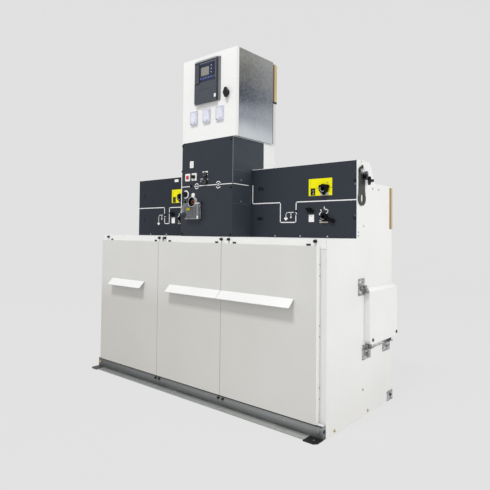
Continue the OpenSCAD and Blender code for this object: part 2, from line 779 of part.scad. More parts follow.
// Charging socket: hub with a hexagon socket for the charging handle, inside a thin guide ring
module charging_socket() color([0.62, 0.36, 0.22]) difference() {
    union() {
        bar_y(charge_x, charge_z, tower_y - 9, tower_y - joint_gap, charge_r);
        difference() {
            bar_y(charge_x, charge_z, shield_y - shield_t, tower_y - joint_gap, guide_r);
            bar_y(charge_x, charge_z, shield_y - shield_t - 1, tower_y - 4, guide_r - 2.5);
        }
        bar_y(charge_x, charge_z, tower_y - 1, tower_y + fascia_t + 45 + mech_t, spindle_r);
    }
    translate([charge_x, tower_y + 14, charge_z]) rotate([90, 0, 0]) cylinder(r = 7, h = 24, $fn = 6);
}

// Clear shield on a vertical pin at its right edge
module breaker_shield() color([0.8, 0.85, 0.88, 0.4]) {
    z0 = shield_z - shield_h / 2;
    z1 = shield_z + shield_h / 2;
    left = shield_x - shield_w;
    slant = shield_notch[0] * 0.65;
    notch_z = z0 + shield_notch[1];
    along_y(shield_y - shield_t, shield_y) difference() {
        polygon([[shield_x, z0], [shield_x, z1], [left + slant, z1], [left, notch_z],
            [left + shield_notch[0], notch_z], [left + shield_notch[0], z0]]);
        translate([charge_x, charge_z]) circle(guide_r + 2.5);
        translate([left + shield_notch[0] - 6, notch_z - 12]) circle(18);
    }
    along_y(shield_y - 1, tower_y - 1)
        polygon([[left, notch_z + 8], [left + slant, z1], [left + slant + shield_t, z1], [left + shield_t, notch_z + 8]]);
    translate([shield_x, shield_pin_y, z0]) cylinder(r = 5.5, h = shield_h);
    translate([shield_x, shield_pin_y, shield_z])
        cylinder(r = shield_pin_r, h = shield_h + 2 * (ear_gap + ear_t), center = true);
}

// Relay cabinet

module relay_cabinet() color(galv) difference() {
    union() {
        difference() {
            block([cab_x0, shell_y, cab_z], [cab_x1, shell_back, cab_top]);
            block([cab_x0 + sheet, shell_y + sheet, cab_z + sheet],
                [cab_x1 - sheet, shell_back - sheet, cab_top - sheet]);
            block([cab_x0 + 16, shell_y - 1, cab_z + 16], [cab_x1 - 16, shell_y + sheet + 1, cab_top - 16]);
        }
        // Skirt behind the back, joggled inwards by its own thickness
        for (x = [cab_x0 + sheet, cab_x1 - 2 * sheet])
            block([x, shell_back - 1, cab_z], [x + sheet, skirt_back, cab_top - 4]);
    }
}

// Door: a tray with hinge knuckles on its left edge and cut-outs for the relay, fuses and latch
module cabinet_door() color(white) difference() {
    union() {
        difference() {
            along_y(door_y, door_back) round_rect(cab_x0, cab_x1, cab_z + 1, cab_top, 5);
            block([cab_x0 + sheet, door_y + sheet, cab_z + 1 + sheet], [cab_x1 - sheet, door_back + 1, cab_top - sheet]);
        }
        for (z = hinge_zs)
            translate([hinge_x, hinge_y, z]) cylinder(r = 5.5, h = knuckle_h, center = true);
    }
    for (z = hinge_zs) {
        translate([hinge_x, hinge_y, z]) cylinder(r = hinge_r + run_fit, h = knuckle_h + 2, center = true);
        // Notches that let the left edge swing past the hinge straps
        for (s = [-1, 1])
            translate([cab_x0 - 1, door_y + sheet, z + s * (knuckle_h / 2 + strap_t / 2 + 1) - strap_t / 2 - 0.8])
                cube([14, door_d, strap_t + 1.6]);
    }
    block([relay_x - relay_w / 2 + 8, door_y - 1, relay_z - relay_h / 2 + 8],
        [relay_x + relay_w / 2 - 8, door_y + sheet + 1, relay_z + relay_h / 2 - 8]);
    for (x = fuse_xs)
        block([x - fuse_w / 2 + 8, door_y - 1, fuse_z - fuse_h / 2 + 8],
            [x + fuse_w / 2 - 8, door_y + sheet + 1, fuse_z + fuse_h / 2 - 8]);
    bar_y(latch_x, latch_z, door_y - 1, door_y + sheet + 1, latch_r + run_fit);
}

// Two fixed hinges: pin and two straps each, on the front of the shell
module door_hinges() color(galv)
    for (z = hinge_zs) {
        reach = knuckle_h / 2 + 1 + strap_t;
        translate([hinge_x, hinge_y, z]) cylinder(r = hinge_r, h = 2 * reach, center = true);
        for (s = [-1, 1]) {
            low = z + s * (knuckle_h / 2 + 1 + strap_t / 2) - strap_t / 2;
            block([hinge_x - 0.5, hinge_y, low], [hinge_x + 5.5, shell_y, low + strap_t]);
            translate([hinge_x, hinge_y, low]) cylinder(r = 3, h = strap_t);
        }
    }

// Quarter-turn latch: winged knob, spindle and cam
module door_latch() color(black) {
    bar_y(latch_x, latch_z, door_y - 8, door_y - joint_gap, 14);
    bar_y(latch_x, latch_z, door_y - 1, door_back - 2, latch_r);
    along_y(door_y - 22, door_y - 7) translate([latch_x, latch_z])
        polygon([[-4, 27], [4, 27], [11, 12], [16, 0], [11, -12], [4, -27], [-4, -27], [-11, -12], [-16, 0], [-11, 12]]);
    block([latch_x - 8, door_back - 7, latch_z - 34], [latch_x + 8, door_back - 3, latch_z + 6]);
}

// Protection relay: face and side flanges in front of the door, case behind it
module protection_relay() color(dark) {
    x0 = relay_x - relay_w / 2;
    x1 = relay_x + relay_w / 2;
    z0 = relay_z - relay_h / 2;
    z1 = relay_z + relay_h / 2;
    difference() {
        union() {
            along_y(relay_face_y, door_y) round_rect(x0, x1, z0, z1, 5);
            along_y(door_y - relay_flange_t, door_y)
                round_rect(x0 - relay_flange, x1 + relay_flange, z0, z1, 5);
            block([x0 + 8.4, door_y - 1, z0 + 8.4], [x1 - 8.4, door_y + relay_body_d, z1 - 8.4]);
        }
        // Screen window
        block([relay_x - 35, relay_face_y - 1, relay_z + 23], [relay_x + 30, relay_face_y + 2, relay_z + 83]);
        // Sloping upper edge
        along_x(x0 - 1, x1 + 1)
            polygon([[relay_face_y - 1, z1 - relay_bevel], [relay_face_y + relay_bevel / 2, z1 + 1], [relay_face_y - 1, z1 + 1]]);
        // Recess behind the flap, with pivot holes above and below it
        block([x0 - 1, relay_face_y - 1, flap_z - flap_h / 2 - 0.4],
            [flap_x + flap_w + 0.6, relay_face_y + flap_t + 6, flap_z + flap_h / 2 + 0.4]);
        translate([flap_x + 2, relay_face_y + 2, flap_z])
            cylinder(r = flap_pin_r + run_fit, h = flap_h + 8, center = true);
        for (x = key_xs)
            bar_y(x, key_z, relay_face_y - 1, relay_face_y + key_l + 1.5, key_r + 0.35);
    }
}

module relay_flap() color([0.3, 0.32, 0.35]) {
    block([flap_x + 2, relay_face_y - flap_proud, flap_z - flap_h / 2],
        [flap_x + flap_w, relay_face_y + flap_t, flap_z + flap_h / 2]);
    translate([flap_x + 2, relay_face_y + 2, flap_z]) cylinder(r = 1.8, h = flap_h, center = true);
    translate([flap_x + 2, relay_face_y + 2, flap_z]) cylinder(r = flap_pin_r, h = flap_h + 6, center = true);
}

module relay_key(i) color([0.2, 0.35, 0.75])
    bar_y(key_xs[i], key_z, relay_face_y - key_proud, relay_face_y + key_l - 1, key_r);

module relay_key_1() relay_key(0);
module relay_key_2() relay_key(1);
module relay_key_3() relay_key(2);
module relay_key_4() relay_key(3);
module relay_key_5() relay_key(4);

// Fuse bases behind the door's cut-outs, with contact slots
module fuse_bases() color(white)
    for (x = fuse_xs)
        difference() {
            union() {
                block([x - fuse_w / 2, door_y - fuse_lip, fuse_z - fuse_h / 2], [x + fuse_w / 2, door_y, fuse_z + fuse_h / 2]);
                block([x - fuse_w / 2 + 8.4, door_y - 1, fuse_z - fuse_h / 2 + 8.4],
                    [x + fuse_w / 2 - 8.4, door_y + sheet + fuse_base_d, fuse_z + fuse_h / 2 - 8.4]);
            }
            for (dz = [-18, 18])
                block([x - 10.4, door_y - fuse_lip - 1, fuse_z + dz - 3.4], [x + 10.4, door_y + 8.4, fuse_z + dz + 3.4]);
        }

// Fuse carrier: block with two contact blades
module fuse_carrier(i) color(white) {
    x = fuse_xs[i];
    front = door_y - fuse_proud;
    back = door_y - fuse_lip - seat_gap;
    along_y(front, back) round_rect(x - fuse_w / 2, x + fuse_w / 2, fuse_z - fuse_h / 2, fuse_z + fuse_h / 2, 3);
    for (dz = [-18, 18])
        block([x - 10, back - 1, fuse_z + dz - 3], [x + 10, door_y + 8, fuse_z + dz + 3]);
}

module fuse_carrier_1() fuse_carrier(0);
module fuse_carrier_2() fuse_carrier(1);
module fuse_carrier_3() fuse_carrier(2);

// Terminal rail on the cabinet's back, with a row of terminals
module terminal_rail() color([0.55, 0.58, 0.55]) {
    back = shell_back - sheet;
    block([cab_x0 + 50, back - 8, cab_z + 90], [cab_x1 - 50, back, cab_z + 125]);
    for (i = [0:15])
        block([cab_x0 + 70 + i * 17, back - 44, cab_z + 84], [cab_x0 + 85 + i * 17, back - 7.5, cab_z + 131]);
}

// Right side

// A round bar from p to q
module rod(p, q, r) {
    d = q - p;
    translate(p) rotate([0, acos(d[2] / norm(d)), atan2(d[1], d[0])]) cylinder(r = r, h = norm(d));
}

// Stowed lever: slotted plate with a pointed head, hung on its stud, and a stem with two grip discs
module operating_lever() color([0.2, 0.2, 0.2]) {
    x1 = lever_x + lever_t;
    foot = [stud_y + 5, stud_z - lever_l + lever_w / 2];
    neck = lever_w * 0.4;
    stem = [lever_x + lever_t / 2, stud_y + 12, stud_z - 8];
    discs = [stem + [13, 13, -10], stem + [19, 31, -33], stem + [27, 47, -32]];
    difference() {
        union() {
            along_x(lever_x, x1) {
                translate([stud_y, stud_z]) circle(24);
                translate(foot) circle(lever_w / 2);
                polygon([[stud_y - 23, stud_z], [foot[0] - neck, foot[1] + 34], [foot[0] - lever_w / 2 + 2, foot[1]],
                    [foot[0] + lever_w / 2 - 2, foot[1]], [foot[0] + neck, foot[1] + 34], [stud_y + 23, stud_z]]);
                polygon([[stud_y - 22, stud_z + 4], [stud_y + 10, stud_z + 33], [stud_y + 23, stud_z + 3]]);
            }
            bar_x(stud_y, stud_z, x1 - 1, x1 + 6, 14);
            rod(stem, discs[0], 5);
            rod(discs[0], discs[1], 5);
            rod(discs[1], discs[2], 4);
            for (c = [0, 1])
                translate(discs[c]) rotate([0, 90, 40]) cylinder(r = 21, h = 8, center = true);
            translate(discs[2]) rotate([0, 90, 40]) cylinder(r = 7, h = 12, center = true);
        }
        bar_x(stud_y, stud_z, lever_x - 20, x1 + 40, stud_r + seat_gap);
        along_x(lever_x - 1, x1 + 1) round_rect(foot[0] - 15, foot[0] + 15, foot[1] - 21, foot[1] + 22, 14);
        block([half_w - 10, stud_y - 90, stud_z - lever_l - 50], [half_w + 0.4, stud_y + 200, stud_z + 80]);
    }
}

// Outline of the end cover, shrunk by d, with its sloping upper edge
module bus_shape(d, x0) {
    top = bus_z + bus_h - d;
    intersection() {
        along_x(x0, bus_x - d) round_rect(bus_y0 + d, bus_y1 - d, bus_z + d, top, bus_r - d);
        along_y(bus_y0, bus_y1)
            polygon([[x0, bus_z], [bus_x, bus_z], [bus_x, top - bus_slope], [bus_x - bus_slope, top], [x0, top]]);
    }
}

// Pressed end cover over the busbar outlet, open towards the panel
module busbar_end_cover() color(white) difference() {
    bus_shape(0, half_w);
    bus_shape(3, half_w - 1);
}

// Clamp straps of the end cover: one at its upper front corner and two angles below it
module busbar_clamps() color(galv) {
    top = bus_z + bus_h;
    difference() {
        union() {
            block([half_w, bus_y0 - 64, top - 34], [half_w + 3, bus_y0 - seat_gap, top + 46]);
            block([half_w, bus_y0 - 20, top - 22], [half_w + 24, bus_y0 - 16, top + 14]);
            block([half_w + 20, bus_y0 - 20, top - 22], [half_w + 24, bus_y0 - 2, top - 2]);
        }
        for (z = [top - 18, top + 30])
            block([half_w - 1, bus_y0 - 54, z - 5], [half_w + 4, bus_y0 - 30, z + 5]);
    }
    bar_x(bus_y0 - 42, top + 6, half_w + 2, half_w + 11, 8);
    for (y = [bus_y0 - 22, bus_y0 + 202]) {
        block([half_w, y, bus_z - 70], [half_w + 4, y + 84, bus_z - seat_gap]);
        block([half_w, y, bus_z - 24], [half_w + bus_d - 8, y + 84, bus_z - 20]);
        block([half_w, y + 60, bus_z - 20.5], [half_w + bus_d - 8, y + 64, bus_z - seat_gap]);
        bar_x(y + 42, bus_z - 48, half_w + 3, half_w + 12, 8);
    }
    block([half_w, bus_y0 + 50, bus_z - 24], [half_w + 12, bus_y0 + 214, bus_z - 20]);
}

// Timber packing strips at the rear edges of the cabinet and of the right housing
module timber_strips() color([0.78, 0.66, 0.45]) {
    block([cab_x1 - sheet, shell_back, cab_top - 231], [cab_x1 + 2, shell_back + 35, cab_top - 12]);
    block([half_w, rear_y - 30, rear_roof_z - 223], [half_w + 4, rear_y, rear_roof_z - 6]);
}

front_base_rail();
rail_feet();
rear_base_rail();
left_side_panel();
right_side_panel();
rear_panel();
deck();
gas_tank();
cable_bushings();
cable_rail();
earth_bar();
mechanism_frames();
left_cover();
middle_cover();
right_cover();
cover_screws();
panel_bolts();
left_fascia();
right_fascia();
left_roof();
right_roof();
tower_fascia();
tower_cheek();
tower_shell();
left_main_switch();
left_earth_switch();
left_selector();
left_indicator();
right_main_switch();
right_earth_switch();
right_selector();
right_indicator();
button_bezels();
trip_button();
close_button();
upper_key_lock();
lower_key_lock();
breaker_selector();
charging_socket();
breaker_shield();
relay_cabinet();
cabinet_door();
door_hinges();
door_latch();
protection_relay();
relay_flap();
relay_key_1();
relay_key_2();
relay_key_3();
relay_key_4();
relay_key_5();
fuse_bases();
fuse_carrier_1();
fuse_carrier_2();
fuse_carrier_3();
terminal_rail();
operating_lever();
busbar_end_cover();
busbar_clamps();
timber_strips();
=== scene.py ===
import math

import bmesh
import bpy
from mathutils import Matrix, Vector


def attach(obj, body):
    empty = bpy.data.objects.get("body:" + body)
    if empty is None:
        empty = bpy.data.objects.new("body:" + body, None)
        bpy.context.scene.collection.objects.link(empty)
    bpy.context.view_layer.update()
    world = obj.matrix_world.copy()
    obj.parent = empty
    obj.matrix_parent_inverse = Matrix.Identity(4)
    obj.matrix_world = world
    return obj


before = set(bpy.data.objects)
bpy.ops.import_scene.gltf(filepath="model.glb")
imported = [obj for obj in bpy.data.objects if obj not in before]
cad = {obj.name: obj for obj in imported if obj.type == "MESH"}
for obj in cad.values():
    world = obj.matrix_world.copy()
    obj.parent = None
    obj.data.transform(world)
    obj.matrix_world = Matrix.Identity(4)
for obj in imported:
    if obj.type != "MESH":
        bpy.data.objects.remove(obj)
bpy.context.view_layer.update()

# Lengths below are millimetres in the part's frame, and become metres when a mesh is made.
MM = 0.001

# Planes that details lie on
FASCIA_Y = -25.0
TOWER_Y = -182.0
SHIELD_Y = TOWER_Y - 19
CHEEK_X = 186.0
COVER_Y = -329.3
STRIP_Y = -299.0
RELAY_Y = -202.0
DOOR_Y = -182.0
FUSE_Y = -192.0
WEB_Y = -320.3
CABINET_X = 201.0
CABINET_TIMBER_X = 205.0
HOUSING_TIMBER_X = 835.0
BUSBAR_X = 860.0
FRONT = "front"
RIGHT = "right"

# Ways that turned details face
TO_FRONT = (0, -1, 0)
TO_RIGHT = (1, 0, 0)
UPWARD = (0, 0, 1)

# The gap that keeps a detail off the face it lies on, and the usual height of a print
LIFT = 0.02
PRINT = 0.35

# Where grime and painted shade lie on paint, in metres, and the colour of both
DUST_LOW = 0.05
DUST_HIGH = 0.42
PAINTED_SHADE_LOW = 0.44
PAINTED_SHADE_HIGH = 0.57
HALF_WIDTH = 0.8
GRIME_AND_SHADE = (0.42, 0.395, 0.34)


# Materials


class Finish:
    """A material under construction, with short ways to add nodes."""

    def __init__(self, name, colour, roughness, metallic=0.0):
        self.mat = bpy.data.materials.new(name)
        self.mat.use_nodes = True
        self.tree = self.mat.node_tree
        self.shader = self.tree.nodes["Principled BSDF"]
        self.shader.inputs["Base Color"].default_value = (*colour, 1.0)
        self.shader.inputs["Roughness"].default_value = roughness
        self.shader.inputs["Metallic"].default_value = metallic
        self.place = self.node("ShaderNodeTexCoord").outputs["Object"]

    def node(self, kind, **values):
        made = self.tree.nodes.new(kind)
        for key, value in values.items():
            made.inputs[key.replace("_", " ")].default_value = value
        return made

    def link(self, source, target):
        self.tree.links.new(source, target)

    def axes(self):
        """Object coordinates as sockets named X, Y and Z."""
        split = self.node("ShaderNodeSeparateXYZ")
        self.link(self.place, split.inputs["Vector"])
        return split.outputs

    def stretched(self, scale):
        """Object coordinates stretched by a different factor along each axis."""
        mapping = self.node("ShaderNodeMapping", Scale=scale)
        self.link(self.place, mapping.inputs["Vector"])
        return mapping.outputs["Vector"]

    def noise(self, scale, detail=3.0, rough=0.55, where=None):
        made = self.node("ShaderNodeTexNoise", Scale=scale, Detail=detail, Roughness=rough)
        self.link(where or self.place, made.inputs["Vector"])
        return made.outputs["Fac"]

    def cells(self, scale):
        """Values that differ from cell to cell, as sockets named Red, Green and Blue."""
        made = self.node("ShaderNodeTexVoronoi", Scale=scale, Randomness=1.0)
        self.link(self.place, made.inputs["Vector"])
        split = self.node("ShaderNodeSeparateColor")
        self.link(made.outputs["Color"], split.inputs["Color"])
        return split.outputs

    def spread(self, source, low, high, start=0.3, end=0.7):
        """Maps a source between start and end onto low to high."""
        made = self.node("ShaderNodeMapRange")
        made.inputs["From Min"].default_value = start
        made.inputs["From Max"].default_value = end
        made.inputs["To Min"].default_value = low
        made.inputs["To Max"].default_value = high
        self.link(source, made.inputs["Value"])
        return made.outputs["Result"]

    def mix(self, amount, under, over):
        """Lays the colour over on the colour under by amount; each may be a socket or three numbers."""
        made = self.tree.nodes.new("ShaderNodeMix")
        made.data_type = "RGBA"
        for value, socket in ((amount, made.inputs[0]), (under, made.inputs[6]), (over, made.inputs[7])):
            if isinstance(value, bpy.types.NodeSocket):
                self.link(value, socket)
            else:
                socket.default_value = (*value, 1.0)
        return made.outputs[2]

    def bump(self, height, distance, strength=1.0, edge=0.0):
        """Bump from a height, over softened edges when edge gives their radius in metres."""
        made = self.node("ShaderNodeBump", Strength=strength, Distance=distance)
        self.link(height, made.inputs["Height"])
        if edge:
            soft = self.node("ShaderNodeBevel", Radius=edge)
            self.link(soft.outputs["Normal"], made.inputs["Normal"])
        self.link(made.outputs["Normal"], self.shader.inputs["Normal"])

    def set(self, **sockets):
        for key, value in sockets.items():
            target = self.shader.inputs[key.replace("_", " ")]
            if isinstance(value, bpy.types.NodeSocket):
                self.link(value, target)
            else:
                target.default_value = value


def scaled(colour, factor):
    return tuple(channel * factor for channel in colour)


def painted(name, colour, roughness, edge=0.0015, dust=0.0, gloss=0.5, painted_shade=None):
    """Powder coat: orange-peel bump, faint blotches and dry rubbed marks.

    dust is the amount of grime near the floor; the last argument gives the amounts of painted shade lower down
    at the left and right ends.
    """
    coat = Finish(name, colour, roughness)
    coat.set(Specular_IOR_Level=gloss)
    blotch = coat.spread(coat.noise(2.6, 4.0), 0.0, 1.0)
    shade = coat.mix(blotch, scaled(colour, 0.965), scaled(colour, 1.02))
    rubbing = coat.noise(9.0, 6.0, 0.7, coat.stretched((1.0, 1.0, 7.0)))
    shade = coat.mix(coat.spread(rubbing, 0.0, 0.22, 0.62, 0.8), shade, scaled(colour, 0.86))
    if dust:
        near_floor = coat.spread(coat.axes()["Z"], dust, 0.0, DUST_LOW, DUST_HIGH)
        shade = coat.mix(near_floor, shade, GRIME_AND_SHADE)
    # Painted shade: darker below about 0.44 m, fading out by 0.57 m, and more so towards the left end
    if painted_shade:
        axes = coat.axes()
        across = coat.spread(axes["X"], painted_shade[0], painted_shade[1], -HALF_WIDTH, HALF_WIDTH)
        below = coat.spread(axes["Z"], 1.0, 0.0, PAINTED_SHADE_LOW, PAINTED_SHADE_HIGH)
        shade = coat.mix(below, shade, coat.mix(across, shade, GRIME_AND_SHADE))
    coat.set(Base_Color=shade)
    coat.set(Roughness=coat.spread(coat.noise(14.0, 5.0), roughness - 0.06, roughness + 0.1))
    coat.bump(coat.noise(620.0, 2.0), 0.00035, 0.22, edge)
    return coat.mat


def galvanised(name, colour, roughness, spangle=75.0, contrast=0.09):
    """Zinc-coated sheet: spangle cells, vertical rolling streaks and a dull bloom."""
    coat = Finish(name, colour, roughness, 0.82)
    flake = coat.cells(spangle)
    bright = coat.spread(flake["Red"], 0.0, 1.0, 0.0, 1.0)
    shade = coat.mix(bright, scaled(colour, 1.0 - contrast), scaled(colour, 1.0 + contrast))
    streak = coat.noise(6.0, 6.0, 0.65, coat.stretched((9.0, 9.0, 0.6)))
    coat.set(Base_Color=coat.mix(coat.spread(streak, 0.0, 0.5), shade, scaled(colour, 0.8)))
    coat.set(Roughness=coat.spread(flake["Green"], roughness - 0.07, roughness + 0.09, 0.0, 1.0))
    coat.bump(coat.noise(240.0, 3.0), 0.0003, 0.18, 0.001)
    return coat.mat


def zinc_with_painted_reflection(name, stops, roughness):
    """Zinc sheet with painted reflection and shade: its tone changes with height, from rising (height in
    metres, colour) stops, and it lightens towards the rear.
    """
    coat = Finish(name, stops[0][1], roughness, 0.75)
    axes = coat.axes()
    wander = 0.12
    drift = coat.node("ShaderNodeMath")
    drift.operation = "MULTIPLY_ADD"
    coat.link(coat.noise(3.0, 3.0), drift.inputs[0])
    drift.inputs[1].default_value = wander
    coat.link(axes["Z"], drift.inputs[2])
    low = stops[0][0]
    high = stops[-1][0]
    height = coat.spread(drift.outputs["Value"], 0.0, 1.0, low + wander / 2, high + wander / 2)
    ramp = coat.node("ShaderNodeValToRGB")
    coat.link(height, ramp.inputs["Fac"])
    ramp.color_ramp.interpolation = "EASE"
    ramp.color_ramp.elements[0].color = (*stops[0][1], 1.0)
    ramp.color_ramp.elements[1].color = (*stops[-1][1], 1.0)
    for z, colour in stops[1:-1]:
        stop = ramp.color_ramp.elements.new((z - low) / (high - low))
        stop.color = (*colour, 1.0)
    # Painted light: lighter towards the rear
    painted_rear_light = coat.spread(axes["Y"], 0.0, 0.35, -0.1, 0.18)
    tone = coat.mix(painted_rear_light, ramp.outputs["Color"], (0.5, 0.52, 0.55))
    flake = coat.cells(90.0)
    bright = coat.spread(flake["Red"], 0.0, 0.1, 0.0, 1.0)
    coat.set(Base_Color=coat.mix(bright, tone, (0.75, 0.77, 0.8)))
    coat.set(Roughness=coat.spread(flake["Green"], roughness - 0.06, roughness + 0.1, 0.0, 1.0))
    coat.bump(coat.noise(260.0, 3.0), 0.0003, 0.16, 0.001)
    return coat.mat


def zinc_with_painted_shade(name, dark, light, axis, start, end):
    """Zinc sheet with painted shade: dark in an inner corner and towards the left end, lighter away from both,
    with random stains.
    """
    coat = Finish(name, light, 0.5, 0.6)
    axes = coat.axes()
    # Painted shade: dark in the inner corner and towards the left end
    shade = coat.mix(coat.spread(axes[axis], 0.0, 1.0, start, end), dark, light)
    shade = coat.mix(coat.spread(axes["X"], 0.62, 0.0, -HALF_WIDTH, 0.55), shade, dark)
    stain = coat.noise(9.0, 6.0, 0.65, coat.stretched((1.0, 5.0, 5.0)))
    coat.set(Base_Color=coat.mix(coat.spread(stain, 0.0, 0.45), shade, scaled(light, 0.7)))
    coat.set(Roughness=coat.spread(coat.noise(40.0, 4.0), 0.42, 0.6))
    coat.bump(coat.noise(200.0, 3.0), 0.0003, 0.2, 0.001)
    return coat.mat


def metal(name, colour, roughness):
    """Turned or plated metal with fine grain and handling marks."""
    coat = Finish(name, colour, roughness, 1.0)
    grain = coat.noise(1.0, 4.0, 0.6, coat.stretched((40.0, 40.0, 500.0)))
    coat.set(Base_Color=coat.mix(coat.spread(grain, 0.0, 1.0), scaled(colour, 0.78), scaled(colour, 1.1)))
    coat.set(Roughness=coat.spread(coat.noise(60.0, 4.0), roughness - 0.08, roughness + 0.12))
    coat.bump(grain, 0.0002, 0.3, 0.0006)
    return coat.mat


def plastic(name, colour, roughness, gloss=0.5):
    """Moulded plastic with a fine spark grain and worn, shinier patches."""
    coat = Finish(name, colour, roughness)
    coat.set(Specular_IOR_Level=gloss)
    patch = coat.spread(coat.noise(22.0, 4.0), 0.0, 1.0)
    coat.set(Base_Color=coat.mix(patch, scaled(colour, 0.9), scaled(colour, 1.12)))
    coat.set(Roughness=coat.spread(coat.noise(35.0, 5.0), roughness - 0.09, roughness + 0.09))
    coat.bump(coat.noise(900.0, 2.0), 0.0002, 0.3, 0.0008)
    return coat.mat


def printed(name, colour, roughness=0.5, gloss=0.5):
    """Screen-printed ink or a label, slightly uneven."""
    coat = Finish(name, colour, roughness)
    coat.set(Specular_IOR_Level=gloss)
    patch = coat.spread(coat.noise(160.0, 3.0), 0.0, 1.0)
    coat.set(Base_Color=coat.mix(patch, scaled(colour, 0.93), colour))
    coat.set(Roughness=coat.spread(coat.noise(90.0, 3.0), roughness - 0.08, roughness + 0.1))
    return coat.mat


def wood(name, colour):
    """Planed softwood with grain along Z."""
    coat = Finish(name, colour, 0.6)
    rings = coat.noise(1.0, 5.0, 0.6, coat.stretched((170.0, 170.0, 5.0)))
    shade = coat.mix(coat.spread(rings, 0.0, 1.0), scaled(colour, 0.7), scaled(colour, 1.12))
    patch = coat.spread(coat.noise(8.0, 3.0), 0.0, 0.4)
    coat.set(Base_Color=coat.mix(patch, shade, scaled(colour, 0.8)))
    coat.bump(rings, 0.0006, 0.5, 0.001)
    return coat.mat


def clear(name, colour, roughness):
    """Clear sheet plastic with faint wiping marks."""
    coat = Finish(name, colour, roughness)
    coat.set(Transmission_Weight=0.94, IOR=1.2)
    coat.set(Roughness=coat.spread(coat.noise(30.0, 4.0), roughness, roughness + 0.08))
    return coat.mat


def glowing(name, colour, strength):
    """Lamp lens with a faint light of its own."""
    coat = Finish(name, colour, 0.25)
    coat.set(Emission_Color=(*colour, 1.0), Emission_Strength=strength)
    coat.set(Roughness=coat.spread(coat.noise(200.0, 2.0), 0.2, 0.35))
    return coat.mat


WHITE = painted("white_coat", (0.8, 0.8, 0.787), 0.42, dust=0.16)
# The cover paint carries painted shade on its lower faces, strongest at the left end
COVER_PAINTED_SHADE = painted("cover_coat_painted_shade", (0.62, 0.615, 0.592), 0.44, painted_shade=(0.48, 0.08))
# Painted light: a lighter copy of the cover paint for the lips' upward faces
LIP_TOP_PAINTED_LIGHT = painted("lip_top_painted_light", (0.77, 0.77, 0.76), 0.42)
# Painted shade: a greyer copy of the white paint for a flange in shade
FLANGE_PAINTED_SHADE = painted("flange_painted_shade", (0.7, 0.7, 0.69), 0.44)
DARK = painted("dark_coat", (0.021, 0.026, 0.037), 0.5, gloss=0.3)
# Painted shade: the fascia paint made darker and duller for the left fascia
DARK_LEFT_PAINTED_SHADE = painted("dark_coat_left_painted_shade", (0.017, 0.021, 0.031), 0.5, gloss=0.2)
CHEEK = painted("cheek_coat", (0.034, 0.042, 0.056), 0.5, gloss=0.3)
BLACK_COAT = painted("black_coat", (0.009, 0.009, 0.01), 0.4, gloss=0.3)
GALV = galvanised("zinc_sheet", (0.56, 0.59, 0.62), 0.36)
# Painted reflection and shade on the relay cabinet: light at the foot, a dark band at mid height, greyer at
# the top
CABINET_PAINTED_REFLECTION = zinc_with_painted_reflection("cabinet_zinc_painted_reflection", [
    (1.383, (0.55, 0.58, 0.61)), (1.5, (0.25, 0.27, 0.31)), (1.62, (0.05, 0.06, 0.085)),
    (1.74, (0.13, 0.13, 0.125)), (1.868, (0.23, 0.23, 0.21))], 0.46)
RAIL = galvanised("zinc_rail", (0.4, 0.41, 0.42), 0.48, 40.0)
RAIL_WEB_PAINTED_SHADE = zinc_with_painted_shade("zinc_web_painted_shade", (0.055, 0.057, 0.057), (0.32, 0.33, 0.335), "Z", 0.006, 0.04)
RAIL_FLANGE_PAINTED_SHADE = zinc_with_painted_shade("zinc_flange_painted_shade", (0.22, 0.23, 0.24), (0.61, 0.62, 0.585), "Y", -0.3203, -0.345)
CLAMP = galvanised("clamp_zinc", (0.42, 0.43, 0.43), 0.4, 110.0, 0.8)
TANK = metal("tank_sheet", (0.58, 0.59, 0.6), 0.4)
BRASS = metal("yellow_zinc", (0.62, 0.5, 0.27), 0.34)
COPPER = metal("copper", (0.7, 0.36, 0.2), 0.36)
OLD_COPPER = metal("old_copper", (0.3, 0.1, 0.07), 0.45)
STEEL = metal("bright_steel", (0.62, 0.63, 0.64), 0.3)
DULL = metal("dull_steel", (0.24, 0.245, 0.25), 0.42)
GREASED = metal("greased_steel", (0.1, 0.1, 0.1), 0.5)
EPOXY = plastic("cast_epoxy", (0.3, 0.09, 0.05), 0.35)
BLACK = plastic("black_plastic", (0.008, 0.008, 0.009), 0.42, gloss=0.25)
SWITCH = plastic("switch_plastic", (0.005, 0.005, 0.006), 0.4, gloss=0.08)
# Grey plastic, also used for painted highlights
GREY_AND_PAINTED_HIGHLIGHT = plastic("grey_plastic_and_painted_highlight", (0.3, 0.31, 0.32), 0.45)
IVORY = plastic("ivory_plastic", (0.65, 0.66, 0.74), 0.42)
IVORY_EDGE = plastic("ivory_edge", (0.45, 0.46, 0.53), 0.45)
RED = plastic("red_plastic", (0.5, 0.02, 0.02), 0.3)
BLUE = plastic("blue_plastic", (0.07, 0.14, 0.48), 0.35)
SLATE = plastic("slate_plastic", (0.046, 0.051, 0.066), 0.42)
SLATE_PAINTED_LIGHT = plastic("slate_painted_light", (0.2, 0.205, 0.22), 0.45)
NAVY = plastic("navy_plastic", (0.014, 0.02, 0.052), 0.38, gloss=0.3)
TERMINAL = plastic("terminal_plastic", (0.4, 0.43, 0.4), 0.5)
